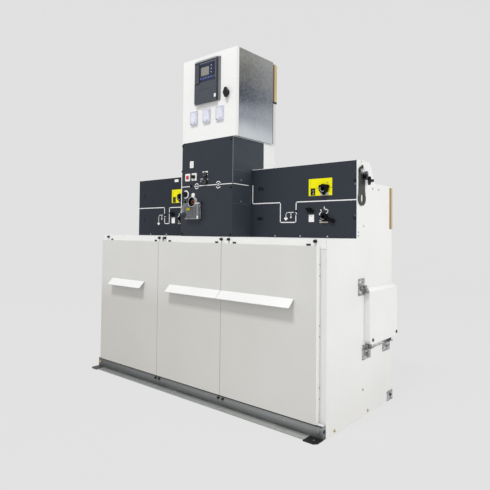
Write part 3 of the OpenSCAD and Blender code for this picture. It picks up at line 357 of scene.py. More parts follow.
# Black rubber, also used for strips of painted shadow
RUBBER_AND_PAINTED_SHADOW = plastic("rubber_and_painted_shadow", (0.02, 0.02, 0.021), 0.7)
SCREEN = printed("screen_glass", (0.23, 0.23, 0.21), 0.18)
INK_WHITE = printed("white_ink", (0.85, 0.85, 0.84))
INK_YELLOW = printed("yellow_ink", (0.86, 0.8, 0.002), 0.6, 0.15)
INK_BLACK = printed("black_ink", (0.012, 0.012, 0.013))
INK_TAN = printed("beige_ink", (0.55, 0.5, 0.4))
INK_OLIVE = printed("olive_ink", (0.42, 0.38, 0.12))
INK_OCHRE = printed("ochre_ink", (0.36, 0.3, 0.01), 0.6, 0.2)
INK_PALE = printed("pale_flange", (0.62, 0.58, 0.62))
# Grey ink for painted reflection along edges
INK_EDGE_PAINTED_REFLECTION = printed("edge_painted_reflection", (0.2, 0.2, 0.21))
# Light grey ink for painted highlights
INK_PAINTED_HIGHLIGHT = printed("painted_highlight", (0.42, 0.42, 0.43))
INK_GREY = printed("grey_rim", (0.5, 0.5, 0.49))
INK_LINE = printed("plate_edge", (0.07, 0.08, 0.095))
CLEAR = clear("clear_sheet", (0.93, 0.95, 0.96), 0.04)
TIMBER = wood("softwood", (0.58, 0.44, 0.22))
LED = glowing("lamp_lens", (0.35, 0.4, 0.5), 0.15)

FINISH_OF = {
    "front_base_rail": RAIL, "rail_feet": BLACK_COAT, "rear_base_rail": RAIL, "left_side_panel": WHITE,
    "right_side_panel": WHITE, "rear_panel": WHITE, "deck": WHITE, "gas_tank": TANK, "cable_bushings": EPOXY,
    "cable_rail": RAIL, "earth_bar": COPPER, "mechanism_frames": GALV, "left_cover": COVER_PAINTED_SHADE,
    "middle_cover": COVER_PAINTED_SHADE, "right_cover": COVER_PAINTED_SHADE, "cover_screws": BLACK_COAT, "panel_bolts": BRASS,
    "left_fascia": DARK_LEFT_PAINTED_SHADE, "right_fascia": DARK, "left_roof": WHITE, "right_roof": WHITE,
    "tower_fascia": DARK, "tower_cheek": CHEEK, "tower_shell": WHITE, "left_main_switch": SWITCH,
    "left_earth_switch": SWITCH, "left_selector": SWITCH, "left_indicator": INK_WHITE,
    "right_main_switch": SWITCH, "right_earth_switch": SWITCH, "right_selector": SWITCH,
    "right_indicator": INK_WHITE, "button_bezels": INK_WHITE, "trip_button": RED, "close_button": BLACK,
    "upper_key_lock": BLACK_COAT, "lower_key_lock": BLACK_COAT, "breaker_selector": BLACK,
    "charging_socket": DULL, "breaker_shield": CLEAR, "relay_cabinet": CABINET_PAINTED_REFLECTION, "cabinet_door": WHITE,
    "door_hinges": GALV, "door_latch": BLACK, "protection_relay": SLATE, "relay_flap": SLATE,
    "relay_key_1": BLUE, "relay_key_2": BLUE, "relay_key_3": BLUE, "relay_key_4": BLUE, "relay_key_5": BLUE,
    "fuse_bases": IVORY, "fuse_carrier_1": IVORY, "fuse_carrier_2": IVORY, "fuse_carrier_3": IVORY,
    "terminal_rail": TERMINAL, "operating_lever": GREASED, "busbar_end_cover": WHITE, "busbar_clamps": CLAMP,
    "timber_strips": TIMBER,
}
for node_name, finish in FINISH_OF.items():
    cad[node_name].data.materials.clear()
    cad[node_name].data.materials.append(finish)


def paint_faces(node_name, finish, test):
    """Gives another finish to the faces whose centre, in millimetres, and normal pass a test."""
    node = cad[node_name]
    node.data.materials.append(finish)
    slot = len(node.data.materials) - 1
    for face in node.data.polygons:
        if test(*(node.matrix_world @ face.center / MM), face.normal):
            face.material_index = slot


# Mesh making


def mesh_object(name, finish, mesh):
    """Turns a bmesh in millimetres into an object in the scene."""
    bmesh.ops.recalc_face_normals(mesh, faces=mesh.faces)
    bmesh.ops.scale(mesh, vec=(MM, MM, MM), verts=mesh.verts)
    data = bpy.data.meshes.new(name)
    mesh.to_mesh(data)
    mesh.free()
    data.materials.append(finish)
    made = bpy.data.objects.new(name, data)
    bpy.context.scene.collection.objects.link(made)
    return made


def smooth(made):
    for face in made.data.polygons:
        face.use_smooth = True


def piece(name, body, finish, mesh):
    """Makes an object that rides on a body."""
    made = mesh_object(name, finish, mesh)
    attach(made, body)
    return made


def block(name, body, finish, lo, hi, bevel=0.0):
    """A box between two corners, with rounded edges when bevel gives their radius."""
    size = Vector(hi) - Vector(lo)
    centre = (Vector(hi) + Vector(lo)) / 2
    mesh = bmesh.new()
    bmesh.ops.create_cube(mesh, size=1.0, matrix=Matrix.Translation(centre) @ Matrix.Diagonal((*size, 1.0)))
    if bevel:
        bmesh.ops.bevel(mesh, geom=mesh.edges[:], offset=bevel, segments=3, affect="EDGES", profile=0.5)
    return piece(name, body, finish, mesh)


def put_turned(mesh, origin, axis, profile, steps=32):
    """Revolves (radius, height) points about an axis through origin; a first or last radius of 0 closes it."""
    turn = Vector(UPWARD).rotation_difference(Vector(axis)).to_matrix()
    rows = []
    for radius, height in profile:
        if radius == 0:
            rows.append([mesh.verts.new(Vector(origin) + turn @ Vector((0, 0, height)))])
            continue
        row = []
        for i in range(steps):
            angle = 2 * math.pi * i / steps
            reach = Vector((radius * math.cos(angle), radius * math.sin(angle), height))
            row.append(mesh.verts.new(Vector(origin) + turn @ reach))
        rows.append(row)
    for low, high in zip(rows, rows[1:]):
        for i in range(steps):
            j = (i + 1) % steps
            if len(low) == 1:
                mesh.faces.new((low[0], high[j], high[i]))
            elif len(high) == 1:
                mesh.faces.new((low[i], low[j], high[0]))
            else:
                mesh.faces.new((low[i], low[j], high[j], high[i]))


def turned(name, body, finish, origin, axis, profile, steps=32):
    """A round detail with smooth sides and crisp edges."""
    mesh = bmesh.new()
    put_turned(mesh, origin, axis, profile, steps)
    made = piece(name, body, finish, mesh)
    smooth(made)
    made.data.set_sharp_from_angle(angle=math.radians(35))
    return made


def put_flat(mesh, plane, at, outline, thick):
    """Extrudes a flat outline off a front plane y = at, or off a right-hand plane x = at."""
    def point(u, v, height):
        return (u, at - height, v) if plane == FRONT else (at + height, u, v)
    base = [mesh.verts.new(point(u, v, LIFT)) for u, v in outline]
    top = [mesh.verts.new(point(u, v, thick)) for u, v in outline]
    mesh.faces.new(base)
    mesh.faces.new(top)
    for i in range(len(outline)):
        j = (i + 1) % len(outline)
        mesh.faces.new((base[i], base[j], top[j], top[i]))


def flat(name, body, finish, plane, at, outlines, thick=PRINT):
    """A print, plate or rim made of flat outlines on one plane."""
    mesh = bmesh.new()
    for outline in outlines:
        put_flat(mesh, plane, at, outline, thick)
    return piece(name, body, finish, mesh)


def rect(u0, v0, u1, v1):
    return [(u0, v0), (u1, v0), (u1, v1), (u0, v1)]


def rounded(u0, v0, u1, v1, r, steps=5):
    """A rectangle with rounded corners."""
    points = []
    corners = ((u1 - r, v1 - r, 0), (u0 + r, v1 - r, 90), (u0 + r, v0 + r, 180), (u1 - r, v0 + r, 270))
    for u, v, start in corners:
        for i in range(steps + 1):
            angle = math.radians(start + 90 * i / steps)
            points.append((u + r * math.cos(angle), v + r * math.sin(angle)))
    return points


def disc(u, v, r, steps=28):
    points = []
    for i in range(steps):
        angle = 2 * math.pi * i / steps
        points.append((u + r * math.cos(angle), v + r * math.sin(angle)))
    return points


def stroke(p, q, width):
    """A straight bar from p to q, square at its ends."""
    along = Vector(q) - Vector(p)
    side = Vector((-along.y, along.x)).normalized() * width / 2
    return [tuple(Vector(p) + side), tuple(Vector(p) - side), tuple(Vector(q) - side), tuple(Vector(q) + side)]


def path(points, width):
    """Bars along a line of points, each lengthened by half a width so that corners close."""
    bars = []
    for p, q in zip(points, points[1:]):
        reach = (Vector(q) - Vector(p)).normalized() * width / 2
        bars.append(stroke(tuple(Vector(p) - reach), tuple(Vector(q) + reach), width))
    return bars


def arc(u, v, r, width, start, end, steps=20):
    """A bent band as a row of four-sided outlines."""
    inner = r - width / 2
    outer = r + width / 2
    bands = []
    for i in range(steps):
        a = math.radians(start + (end - start) * i / steps)
        b = math.radians(start + (end - start) * (i + 1) / steps)
        corners = ((inner, a), (outer, a), (outer, b), (inner, b))
        bands.append([(u + reach * math.cos(angle), v + reach * math.sin(angle)) for reach, angle in corners])
    return bands


def tube(name, body, finish, points, radius):
    """A round bar that follows points, one turned length for each."""
    mesh = bmesh.new()
    for p, q in zip(points, points[1:]):
        along = Vector(q) - Vector(p)
        put_turned(mesh, p, along, [(0, 0), (radius, 0), (radius, along.length), (0, along.length)], 12)
    return piece(name, body, finish, mesh)


# Switch fascias, the same on both sides

MAIN_Z = 1085
EARTH_Z = 945
SELECTOR_Z = 981
LINE = 5.0
FINE_LINE = 3.6
FAINT_LINE = 3.0
ARROW_LINE = 4.6


def earth_branch(x, tip, top, x_end, x_stub):
    """Printed earthing branch: a bent line with an arrow at its foot and a stub beside it."""
    bars = path([(x, tip + 16), (x, top - 8), (x + 9, top), (x_end, top)], FINE_LINE)
    bars += path([(x_stub, top), (x_stub, top - 22)], 3.2)
    bars.append(disc(x_stub, top - 25, 5, 16))
    bars.append([(x, tip), (x + 13.5, tip + 12), (x, tip + 22), (x - 13.5, tip + 12)])
    return bars


def dress_fascia(side, cx):
    """Plate, prints and caps of one ring switch, whose spindles lie on the upright line x = cx."""
    main = side + "_main_switch"
    earth = side + "_earth_switch"
    main_front = FASCIA_Y - 20
    earth_front = FASCIA_Y - 16
    selector_front = FASCIA_Y - 13
    plate = [rounded(cx - 93, 1052, cx - 81, 1138, 3), rounded(cx - 82, 1089.5, cx + 42, 1138, 3),
             rounded(cx - 55, 1052, cx + 42, 1091, 3), rect(cx - 82, 1052, cx - 54, 1056)]
    flat(side + "_yellow_plate", "frame", INK_YELLOW, FRONT, FASCIA_Y, plate, 0.15)
    rim = [rect(cx - 81, 1085, cx - 55, 1090), rect(cx - 81, 1055, cx - 55, 1059),
           rect(cx - 81, 1059, cx - 74, 1085), rect(cx - 62, 1059, cx - 55, 1085)]
    flat(side + "_window_rim", "frame", BLACK, FRONT, FASCIA_Y, rim, 1.6)
    faint = path([(cx + 16, 1103), (cx + 16, 1117)], FAINT_LINE)
    faint += path([(cx + 10, 1117), (cx + 22, 1119)], FAINT_LINE)
    faint += path([(cx - 38, 1086), (cx - 27, 1085)], FAINT_LINE)
    faint += path([(cx - 34, 1092), (cx - 36, 1099)], FAINT_LINE)
    flat(side + "_faint_marks", "frame", INK_OLIVE, FRONT, FASCIA_Y, faint, 0.24)
    flat(side + "_pale_base", "frame", INK_PALE, FRONT, FASCIA_Y,
         [rounded(cx - 26, 1053, cx + 24, 1068, 7)], 3.0)
    flat(side + "_label", "frame", INK_WHITE, FRONT, FASCIA_Y, [rect(cx - 92, 921, cx - 61, 958)])
    flat(side + "_label_mark", "frame", INK_TAN, FRONT, FASCIA_Y,
         [rect(cx - 80, 947, cx - 73, 951)], PRINT * 1.6)
    arrows = path([(cx - 22, 981), (cx - 16, 974), (cx - 33, 958), (cx - 17, 952)], ARROW_LINE)
    arrows += path([(cx - 2, 994), (cx - 2, 983), (cx + 16, 982), (cx + 20, 973), (cx + 10, 962)], ARROW_LINE)
    flat(side + "_turn_arrows", "frame", INK_WHITE, FRONT, FASCIA_Y, arrows)
    flat(side + "_beige_bars", "frame", INK_TAN, FRONT, FASCIA_Y,
         [rounded(cx - 28, 925, cx - 9, 931, 2), rounded(cx - 28, 916, cx + 20, 922, 2)], 2.0)
    turned(side + "_main_cap", main, SWITCH, (cx, main_front, MAIN_Z), TO_FRONT,
           [(21.0, 0.0), (20.4, 1.4), (16.0, 1.8), (11.0, 1.8), (10.4, 0.2)])
    # Painted highlights: bright arcs on the main and earth switch caps
    flat(side + "_main_painted_highlight", main, INK_PAINTED_HIGHLIGHT, FRONT, main_front - 1.8,
         arc(cx, MAIN_Z, 14.5, 2.4, 150, 300), 0.2)
    turned(side + "_earth_cap", earth, SWITCH, (cx, earth_front, EARTH_Z), TO_FRONT,
           [(17.0, 0.0), (16.4, 1.2), (13.0, 1.6), (9.4, 1.6), (8.9, 0.2)])
    flat(side + "_earth_painted_highlight", earth, INK_PAINTED_HIGHLIGHT, FRONT, earth_front - 1.6,
         arc(cx, EARTH_Z, 12, 2.4, 190, 300), 0.2)
    selector_place = (cx - 84, selector_front, SELECTOR_Z)
    turned(side + "_selector_cap", side + "_selector", SWITCH, selector_place, TO_FRONT,
           [(9.0, 0.0), (8.4, 1.2), (0, 1.6)])
    # Painted shade: a black square at the bottom of the main switch's bore
    flat(side + "_socket_painted_shade", main, BLACK, FRONT, FASCIA_Y - 0.5,
         [rect(cx - 6.8, MAIN_Z - 6.8, cx + 6.8, MAIN_Z + 6.8)], 0.6)
    flat(side + "_flag_bar", side + "_indicator", INK_BLACK, FRONT, FASCIA_Y + 7.5,
         [rect(cx - 79, 1070, cx - 57, 1074)], 0.3)


dress_fascia("right", 656)
dress_fascia("left", -394)

right_lines = path([(195, 1126), (195, 1025), (386, 1025), (386, 920), (485, 920), (485, 953)], LINE)
right_lines += path([(486, 986), (487, 1025), (828, 1025)], LINE)
right_lines += path([(482, 972), (492, 968), (486, 962)], FINE_LINE)
right_lines += earth_branch(422, 929, 972, 469, 454)
flat("right_mimic", "frame", INK_WHITE, FRONT, FASCIA_Y, right_lines)
left_lines = path([(-828, 1025), (-559, 1025), (-558, 986)], LINE)
left_lines += path([(-557, 955), (-556, 919), (-510, 919), (-510, 1023), (-226, 1023)], LINE)
left_lines += path([(-560, 966), (-549, 965)], FINE_LINE)
left_lines += earth_branch(-617, 908, 975, -575, -585)
flat("left_mimic", "frame", INK_WHITE, FRONT, FASCIA_Y, left_lines)
for side, x, z in (("right", 487, 978), ("left", -558, 976)):
    turned(side + "_mimic_stop", "frame", BLACK, (x, FASCIA_Y, z), TO_FRONT,
           [(6, LIFT), (6, 2.2), (5, 3), (0, 3.2)], 20)
plugs = [rounded(x, z - 8, x + 15, z + 8, 5) for x, z in ((234, 1105), (255, 1105), (231, 941), (252, 941))]
flat("right_plugs", "frame", BLACK, FRONT, FASCIA_Y, plugs, 1.6)
flat("right_edge_stops", "frame", BLACK, FRONT, FASCIA_Y,
     [rect(814, 1106, 827, 1123), rect(812, 930, 825, 947)], 1.0)
flat("right_top_line", "frame", INK_WHITE, FRONT, FASCIA_Y, [rect(188, 1212.6, 827, 1214.8)], 0.3)
flat("left_upper_label", "frame", INK_WHITE, FRONT, FASCIA_Y, [rect(-462, 1187, -426, 1204)])


# Breaker tower

CHARGE_X = -114
CHARGE_Z = 1037
BUTTON_Z = 1181
TOWER_LINE = 4.2

tower_lines = path([(-218, 1128), (-151, 1128)], TOWER_LINE) + path([(-71, 1128), (180, 1127)], TOWER_LINE)
tower_lines += arc(-92, 1127, 14.5, TOWER_LINE, 0, 360, 36) + [stroke((-106, 1127), (-78, 1127), 4)]
tower_lines += [[(-115, 1127), (-104, 1121), (-104, 1133)], [(-69, 1127), (-80, 1133), (-80, 1121)]]
tower_lines += arc(78, 1126, 18, TOWER_LINE, 32, 148) + arc(78, 1126, 18, TOWER_LINE, 212, 328)
tower_lines += [[(78, 1136), (68, 1127), (78, 1118), (88, 1127)]]
flat("tower_mimic", "frame", INK_WHITE, FRONT, TOWER_Y, tower_lines)
turned("mimic_stop", "frame", SWITCH, (-138, TOWER_Y, 1130), TO_FRONT,
       [(7, LIFT), (7, 2.5), (6, 3.2), (0, 3.4)], 24)
flat("cheek_mimic", "frame", INK_WHITE, RIGHT, CHEEK_X, path([(-178, 1127), (-54, 1125)], TOWER_LINE), 1.0)
flat("cheek_plates", "frame", CHEEK, RIGHT, CHEEK_X,
     [rounded(-179, 1140, -32, 1205, 4), rounded(-179, 1020, -32, 1114, 4)], 0.6)
flat("cheek_edges", "frame", INK_LINE, RIGHT, CHEEK_X,
     path([(-178, 1020), (-33, 1020), (-33, 1112)], 2.2) + path([(-178, 1204), (-33, 1204)], 2.2), 0.8)
flat("tower_edge_shade", "frame", DARK, FRONT, TOWER_Y, [rect(-222.9, 842, -217.1, 975)], 0.3)
flat("cheek_marks", "frame", GREY_AND_PAINTED_HIGHLIGHT, RIGHT, CHEEK_X + 0.6,
     [rect(-119, 1146, -113, 1154), rect(-118, 1029, -112, 1037)], 0.3)
# Painted highlight: a light line down the tower's right front corner
flat("corner_painted_highlight", "frame", GREY_AND_PAINTED_HIGHLIGHT, FRONT, TOWER_Y, [rect(183.4, 1136, 185.6, 1380)], 0.3)
flat("tower_label", "frame", INK_WHITE, FRONT, TOWER_Y, [rect(-151, 1235, -121, 1274)])
flat("tower_label_lines", "frame", INK_TAN, FRONT, TOWER_Y,
     [rect(-146, 1267 - 6 * i, -127, 1268.2 - 6 * i) for i in range(5)], PRINT * 1.6)
flat("lock_bar", "frame", INK_WHITE, FRONT, TOWER_Y, [rect(-43, 1199, -2, 1207)], 3.0)
# Light grey marks at the key locks: partly light pieces beside the locks, partly painted highlights on the
# lock bodies
flat("lock_marks_and_painted_highlights", "frame", GREY_AND_PAINTED_HIGHLIGHT, FRONT, TOWER_Y,
     [disc(-6, 1188, 4.5), disc(-4, 1161, 4.5), disc(-58, 1152, 4.5), rounded(-62, 1160, -40, 1169, 3)], 1.2)
flat("selector_ring", "frame", INK_WHITE, FRONT, TOWER_Y, arc(-182, 1083, 20.5, 8, -128, 128, 32), 0.8)
turned("white_cap", "frame", INK_WHITE, (-117, TOWER_Y, 1076), TO_FRONT,
       [(12.5, LIFT), (12.5, 5), (11, 7), (0, 7.5)])
turned("small_knob", "frame", BLACK, (-185, TOWER_Y, 1040), TO_FRONT,
       [(9, LIFT), (9, 6), (8, 8), (0, 8.4)], 24)
flat("small_knob_ring", "frame", GREY_AND_PAINTED_HIGHLIGHT, FRONT, TOWER_Y, arc(-187, 1040, 13, 2.2, 0, 360, 28), 0.5)
turned("trip_cap", "trip_button", RED, (-165, TOWER_Y - 8, BUTTON_Z), TO_FRONT,
       [(7.5, 0.0), (7.0, 1.0), (0, 1.4)])
turned("close_cap", "close_button", BLACK, (-111, TOWER_Y - 21, BUTTON_Z), TO_FRONT,
       [(9.4, 0.0), (8.6, 1.2), (0, 1.8)])
for level, z in (("upper", 1189), ("lower", 1147)):
    turned(level + "_lock_face", level + "_key_lock", DULL, (-23, TOWER_Y - 9, z), TO_FRONT,
           [(9.6, 0.0), (9.6, 0.8), (9.0, 1.2), (7.0, 1.2), (6.6, 0.1)])
for x, z in ((-214, 1370), (-216, 1220), (173, 1366), (171, 1106), (-210, 854), (171, 853)):
    turned("tower_screw_%d_%d" % (x, z), "frame", SWITCH, (x, TOWER_Y, z), TO_FRONT,
           [(5.4, LIFT), (5.4, 1.6), (4.2, 2.6), (0, 2.8)], 16)

block("shield_label", "breaker_shield", INK_OCHRE,
      (-157, SHIELD_Y - 0.5, 988), (-127, SHIELD_Y - LIFT, 1003))
# Painted reflection along the clear shield's edges, and painted highlights on two of its ends
flat("shield_edges_painted_reflection", "breaker_shield", INK_EDGE_PAINTED_REFLECTION, FRONT, SHIELD_Y,
     [rect(-168, 938, -62, 943), rect(-71, 943, -57, 1026), rect(-82, 1026, -46, 1030.4)], 0.6)
flat("shield_ends_painted_highlight", "breaker_shield", INK_WHITE, FRONT, SHIELD_Y - 0.6,
     [rect(-82, 1026, -48, 1030.4), rect(-69, 940, -58, 956)], 0.4)

# The charging socket has a copper core and a grey rim; its throat between them is painted black as painted
# shade.
CORE_RADIUS = 12.4
THROAT_RADIUS = 26.8


def from_charge(x, z):
    return math.hypot(x - CHARGE_X, z - CHARGE_Z)


# Painted shade: black in the socket's recessed throat
paint_faces("charging_socket", BLACK_COAT,
            lambda x, y, z, normal: CORE_RADIUS < from_charge(x, z) < THROAT_RADIUS)
paint_faces("charging_socket", OLD_COPPER, lambda x, y, z, normal: from_charge(x, z) <= CORE_RADIUS)
paint_faces("charging_socket", INK_GREY,
            lambda x, y, z, normal: from_charge(x, z) > THROAT_RADIUS and y < TOWER_Y - 4)


# Relay cabinet

KEY_Z = 1731
FIRST_KEY_X = -48
KEY_PITCH = 20.5
SEAL_BACK = -158.0
SEAL_LOW = 1386
SEAL_HIGH = 1866

flat("relay_panel", "cabinet_door", NAVY, FRONT, RELAY_Y,
     [rounded(-57, 1802, 62, 1828, 3), rounded(-57, 1713, -53.6, 1806, 1.5), rect(15.5, 1741, 62, 1803),
      rect(-52, 1736.5, 62, 1740.8)], 0.5)
flat("relay_key_panel", "cabinet_door", NAVY, FRONT, RELAY_Y, [rounded(-57, 1713, 62, 1725.5, 2)], 0.5)
block("relay_screen", "cabinet_door", SCREEN, (-48.6, RELAY_Y + 1.0, 1748.5), (13.6, RELAY_Y + 1.9, 1794.5))
for i, z in enumerate((1795, 1776, 1757)):
    turned("relay_lamp_%d" % i, "cabinet_door", LED, (33, RELAY_Y - 0.5, z), TO_FRONT,
           [(3.4, -0.4), (3.4, 0.6), (2.4, 1.3), (0, 1.5)], 16)
for i in range(5):
    key_place = (FIRST_KEY_X + KEY_PITCH * i, RELAY_Y - 1.5, KEY_Z)
    turned("relay_key_cap_%d" % (i + 1), "relay_key_%d" % (i + 1), BLUE, key_place, TO_FRONT,
           [(4.6, 0.0), (4.2, 0.8), (0, 1.1)], 20)
flat("relay_seam", "cabinet_door", INK_BLACK, FRONT, RELAY_Y, [rect(-100, 1668, 70, 1668.8)], 0.2)
# The flap's seam, widened with painted shadow along the raised flap's right and bottom edges
flat("flap_seam_and_painted_shadow", "cabinet_door", INK_BLACK, FRONT, RELAY_Y,
     [rect(-60.4, 1703, -57.2, 1822), rect(-100, 1703, -60.4, 1707)], 0.2)
flat("relay_top_line", "cabinet_door", INK_BLACK, FRONT, RELAY_Y, [rect(-100, 1822, 64, 1828)], 0.6)
# Painted highlights: light lines along the relay panel's top edge and right edge
flat("relay_top_painted_highlight", "cabinet_door", GREY_AND_PAINTED_HIGHLIGHT, FRONT, RELAY_Y, [rect(-57, 1817.4, 60, 1819.2)], 0.7)
flat("relay_side_painted_highlight", "cabinet_door", GREY_AND_PAINTED_HIGHLIGHT, FRONT, RELAY_Y, [rect(63.6, 1722, 65, 1822)], 0.3)
flat("relay_square", "cabinet_door", INK_WHITE, FRONT, RELAY_Y, [rounded(55.5, 1612, 69, 1631, 1.5)])
# Painted light: the relay's upward faces and side flanges get a lighter grey
paint_faces("protection_relay", SLATE_PAINTED_LIGHT,
            lambda x, y, z, normal: normal.y < -0.2 and (normal.z > 0.2 or x > 72 or x < -102))
turned("latch_ring", "cabinet_door", BLACK, (139, DOOR_Y, 1625.5), TO_FRONT,
       [(16, LIFT), (16, 2.4), (15.4, 3.2), (14.6, 3.2), (14.6, LIFT)])
for number, x in ((1, -117), (2, -15), (3, 87)):
    carrier = "fuse_carrier_%d" % number
    rim = [rect(x - 25, 1485, x + 25, 1487), rect(x - 25, 1555, x + 25, 1557),
           rect(x - 25, 1487, x - 23.4, 1555), rect(x + 23.4, 1487, x + 25, 1555)]
    flat("fuse_rim_%d" % number, carrier, IVORY_EDGE, FRONT, FUSE_Y, rim, 0.5)
    flat("fuse_grip_%d" % number, carrier, IVORY_EDGE, FRONT, FUSE_Y,
         [rounded(x - 2, 1491, x + 16, 1496, 2), rounded(x + 16, 1538, x + 19, 1552, 1)], 1.0)
    flat("fuse_catch_%d" % number, carrier, GREY_AND_PAINTED_HIGHLIGHT, FRONT, FUSE_Y,
         [rounded(x - 22, 1486, x - 12, 1491, 1.5)], 1.2)
for name, x in (("door_seal", -215), ("door_seal_right", 189)):
    block(name, "frame", RUBBER_AND_PAINTED_SHADOW, (x, SEAL_BACK - 2, SEAL_LOW), (x + 12, SEAL_BACK - LIFT, SEAL_HIGH))
# Painted shadow: dark strips along the front edges of the timber strips and of the cabinet's rear skirt
flat("timber_painted_shadow", "frame", RUBBER_AND_PAINTED_SHADOW, RIGHT, CABINET_TIMBER_X, [rect(142.2, 1638, 152, 1855)], 0.4)
flat("skirt_painted_shadow", "frame", RUBBER_AND_PAINTED_SHADOW, RIGHT, CABINET_X, [rect(142.2, SEAL_LOW, 149, 1625)], 0.4)
block("timber_foot", "frame", RUBBER_AND_PAINTED_SHADOW, (CABINET_X + 0.1, 143, 1626), (CABINET_X + 5, 176, 1636.5))
flat("rear_timber_painted_shadow", "frame", RUBBER_AND_PAINTED_SHADOW, RIGHT, HOUSING_TIMBER_X, [rect(340.2, 892, 346, 1107)], 0.4)
# Painted shade: the cabinet's rear skirt gets the greyer cover paint instead of white
paint_faces("relay_cabinet", COVER_PAINTED_SHADE, lambda x, y, z, normal: y > 142.5)


# Right side

STUD_X = 847
STUD_Y = 12
STUD_Z = 1161
RIVET_X = 800
RIVET_Y = -303


def from_stud(y, z):
    return math.hypot(y - STUD_Y, z - STUD_Z)


def lever_tip(x, y, z, normal):
    return z > 1176 or (z > 1100 and y > 33 and x > 839) or (z > 1141 and from_stud(y, z) > 22)


paint_faces("operating_lever", BLACK, lever_tip)
paint_faces("operating_lever", STEEL, lambda x, y, z, normal: x > 838 and from_stud(y, z) < 14.5)
for y in (85, 361):
    turned("busbar_screw_%d" % y, "frame", BLACK_COAT, (BUSBAR_X, y, 355), TO_RIGHT,
           [(8, LIFT), (8, 2.2), (6.6, 3.4), (0, 3.8)], 20)
block("busbar_ledge", "frame", WHITE, (831.5, 114, 315 + LIFT), (842.5, 252, 315.6))
paint_faces("rear_base_rail", CLAMP, lambda x, y, z, normal: x > 830)
turned("rear_tab_bolt", "frame", BLACK_COAT, (833, 345, 26), TO_RIGHT,
       [(8, LIFT), (8, 3), (6, 4), (0, 4.4)], 20)
turned("stud_cap", "frame", STEEL, (STUD_X, STUD_Y, STUD_Z), TO_RIGHT,
       [(6, 0.0), (9, 0.1), (9, 2.4), (7, 4), (0, 4.4)], 24)
for z in (730, 681, 469, 422, 208, 161):
    turned("cover_rivet_%d" % z, "right_cover", GREY_AND_PAINTED_HIGHLIGHT, (RIVET_X, RIVET_Y, z), TO_RIGHT,
           [(3.2, LIFT), (2.8, 0.9), (0, 1.2)], 14)


# Covers and deck

HEM_Y = -366.6
HEM_Z = 538
SCREW_Z = 829.5

for cover, x0, x1 in (("left", -682, -365), ("middle", -143, 243), ("right", 245, 684)):
    tube(cover + "_lip_hem", cover + "_cover", COVER_PAINTED_SHADE, [(x0, HEM_Y, HEM_Z), (x1, HEM_Y, HEM_Z)], 1.7)
for i, x in enumerate((-776, -269, -219, 219, 269, 776)):
    turned("screw_washer_%d" % i, "frame", BLACK_COAT, (x, STRIP_Y - 12, SCREW_Z), TO_FRONT,
           [(5, 0.0), (4.4, 1.2), (0, 1.4)], 20)
# Painted shade on the front rail: dark in its corner, at its right end, on the left foot and on the bolts by
# the rail's end
paint_faces("front_base_rail", RAIL_WEB_PAINTED_SHADE, lambda x, y, z, normal: normal.y < -0.9 and y > WEB_Y - 1)
paint_faces("front_base_rail", RAIL_WEB_PAINTED_SHADE, lambda x, y, z, normal: x > 700 and (normal.x > 0.9 or z > 50))
paint_faces("front_base_rail", RAIL_FLANGE_PAINTED_SHADE, lambda x, y, z, normal: normal.z > 0.9 and z < 5)
paint_faces("rail_feet", RAIL_WEB_PAINTED_SHADE, lambda x, y, z, normal: x < 0)
paint_faces("panel_bolts", STEEL, lambda x, y, z, normal: z > 700)
paint_faces("panel_bolts", RAIL_WEB_PAINTED_SHADE, lambda x, y, z, normal: x > 700 and y < -250 and z < 100)
turned("rail_end_bolt", "frame", BLACK_COAT, (829, -309, 33), TO_RIGHT,
       [(8.5, LIFT), (8.5, 1.2), (7, 1.7), (0, 1.8)], 20)
# Painted light: the right cover's right-facing side gets the white paint instead of the cover paint
paint_faces("right_cover", WHITE, lambda x, y, z, normal: x > 790 and normal.x > 0.6)
# Painted shade: the right side panel's front-facing flange gets the greyer flange paint
paint_faces("right_side_panel", FLANGE_PAINTED_SHADE, lambda x, y, z, normal: normal.y < -0.7 and z < 840)
# Painted light: the lips' upward faces get the lighter lip paint
for cover in ("left_cover", "middle_cover", "right_cover"):
    paint_faces(cover, LIP_TOP_PAINTED_LIGHT, lambda x, y, z, normal: y < COVER_Y - 2 and z < 590 and normal.z > 0.3)
# Painted shadow: a black strip along the top of the rail's web, under the covers' bottom edge
flat("sill_painted_shadow", "frame", RUBBER_AND_PAINTED_SHADOW, FRONT, WEB_Y, [rect(-826, 50.5, 826, 55.6)], 0.4)
block("deck_clip", "frame", DULL, (-243, STRIP_Y - 3, 813), (-232, STRIP_Y - LIFT, 836), 0.6)


# Studio

FLOOR_Z = -0.5
FLOOR_RADIUS = 6000
BEND_RADIUS = 2500
BEND_STEPS = 12
WALL_TOP = 9000
PAPER_LIGHT = 0.712
AIR_COLOUR = (0.9, 0.93, 1.0, 1.0)
AIR_LIGHT = 0.3


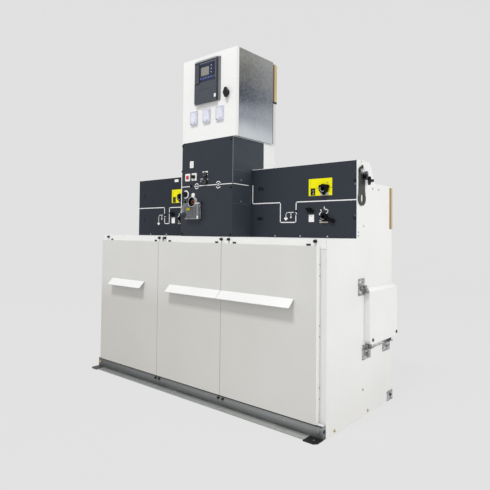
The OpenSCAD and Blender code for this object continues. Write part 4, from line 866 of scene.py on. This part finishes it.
def round_stage():
    """A round floor that bends up into a wall, so every view has the same plain ground."""
    profile = [(0, 0.0), (1500, 0.0), (FLOOR_RADIUS, 0.0)]
    for i in range(1, BEND_STEPS + 1):
        angle = math.radians(90 * i / BEND_STEPS)
        profile.append((FLOOR_RADIUS + BEND_RADIUS * math.sin(angle), BEND_RADIUS * (1 - math.cos(angle))))
    profile.append((FLOOR_RADIUS + BEND_RADIUS, WALL_TOP))
    mesh = bmesh.new()
    put_turned(mesh, (0, 0, FLOOR_Z), UPWARD, profile, 96)
    paper = Finish("studio_paper", (0.045, 0.045, 0.045), 0.9)
    patch = paper.spread(paper.noise(1.5, 3.0), 0.0, 1.0)
    paper.set(Base_Color=paper.mix(patch, (0.044, 0.044, 0.044), (0.046, 0.046, 0.046)))
    paper.set(Specular_IOR_Level=0.0, Emission_Color=(1.0, 1.0, 1.0, 1.0), Emission_Strength=PAPER_LIGHT)
    made = mesh_object("studio_floor", paper.mat, mesh)
    smooth(made)


def lamp(name, place, target, size, power):
    """An area lamp at place, aimed at target, both in metres."""
    data = bpy.data.lights.new(name, "AREA")
    data.shape = "RECTANGLE"
    data.size = size[0]
    data.size_y = size[1]
    data.energy = power
    made = bpy.data.objects.new(name, data)
    made.location = place
    made.rotation_mode = "QUATERNION"
    made.rotation_quaternion = (Vector(target) - Vector(place)).to_track_quat("-Z", "Y")
    made.visible_camera = False
    bpy.context.scene.collection.objects.link(made)


def studio_camera():
    """Camera worked out from the unit's edges in the photograph, in metres, radians and pixels."""
    place = (1.8792, -2.0663, 0.8618)
    yaw = 0.7043
    pitch = 0.0345
    roll = 0.0100
    focal = 475.354
    centre_x = 245.745
    centre_y = 216.670
    width = 490.0
    sensor = 36.0
    ahead = Vector((-math.sin(yaw) * math.cos(pitch), math.cos(yaw) * math.cos(pitch), math.sin(pitch)))
    level = Vector((math.cos(yaw), math.sin(yaw), 0.0))
    up = level.cross(ahead)
    right = math.cos(roll) * level + math.sin(roll) * up
    over = -math.sin(roll) * level + math.cos(roll) * up
    data = bpy.data.cameras.new("photo_camera")
    data.sensor_width = sensor
    data.lens = sensor * focal / width
    data.shift_x = (width / 2 - centre_x) / width
    data.shift_y = (centre_y - width / 2) / width
    made = bpy.data.objects.new("photo_camera", data)
    turn = Matrix((right, over, -ahead)).transposed().to_4x4()
    made.matrix_world = Matrix.Translation(place) @ turn
    bpy.context.scene.collection.objects.link(made)
    bpy.context.scene.camera = made


round_stage()
lamp("front_key", (0.5, -4.8, 8.4), (0.1, -0.3, 0.6), (2.6, 1.4), 525)
lamp("right_window", (4.6, 0.4, 2.2), (0.6, 0.0, 0.7), (3.0, 2.6), 70)
studio_camera()
scene = bpy.context.scene
scene.view_settings.view_transform = "Standard"
scene.world = bpy.data.worlds.new("studio_air")
scene.world.use_nodes = True
air = scene.world.node_tree.nodes["Background"]
air.inputs["Color"].default_value = AIR_COLOUR
air.inputs["Strength"].default_value = AIR_LIGHT
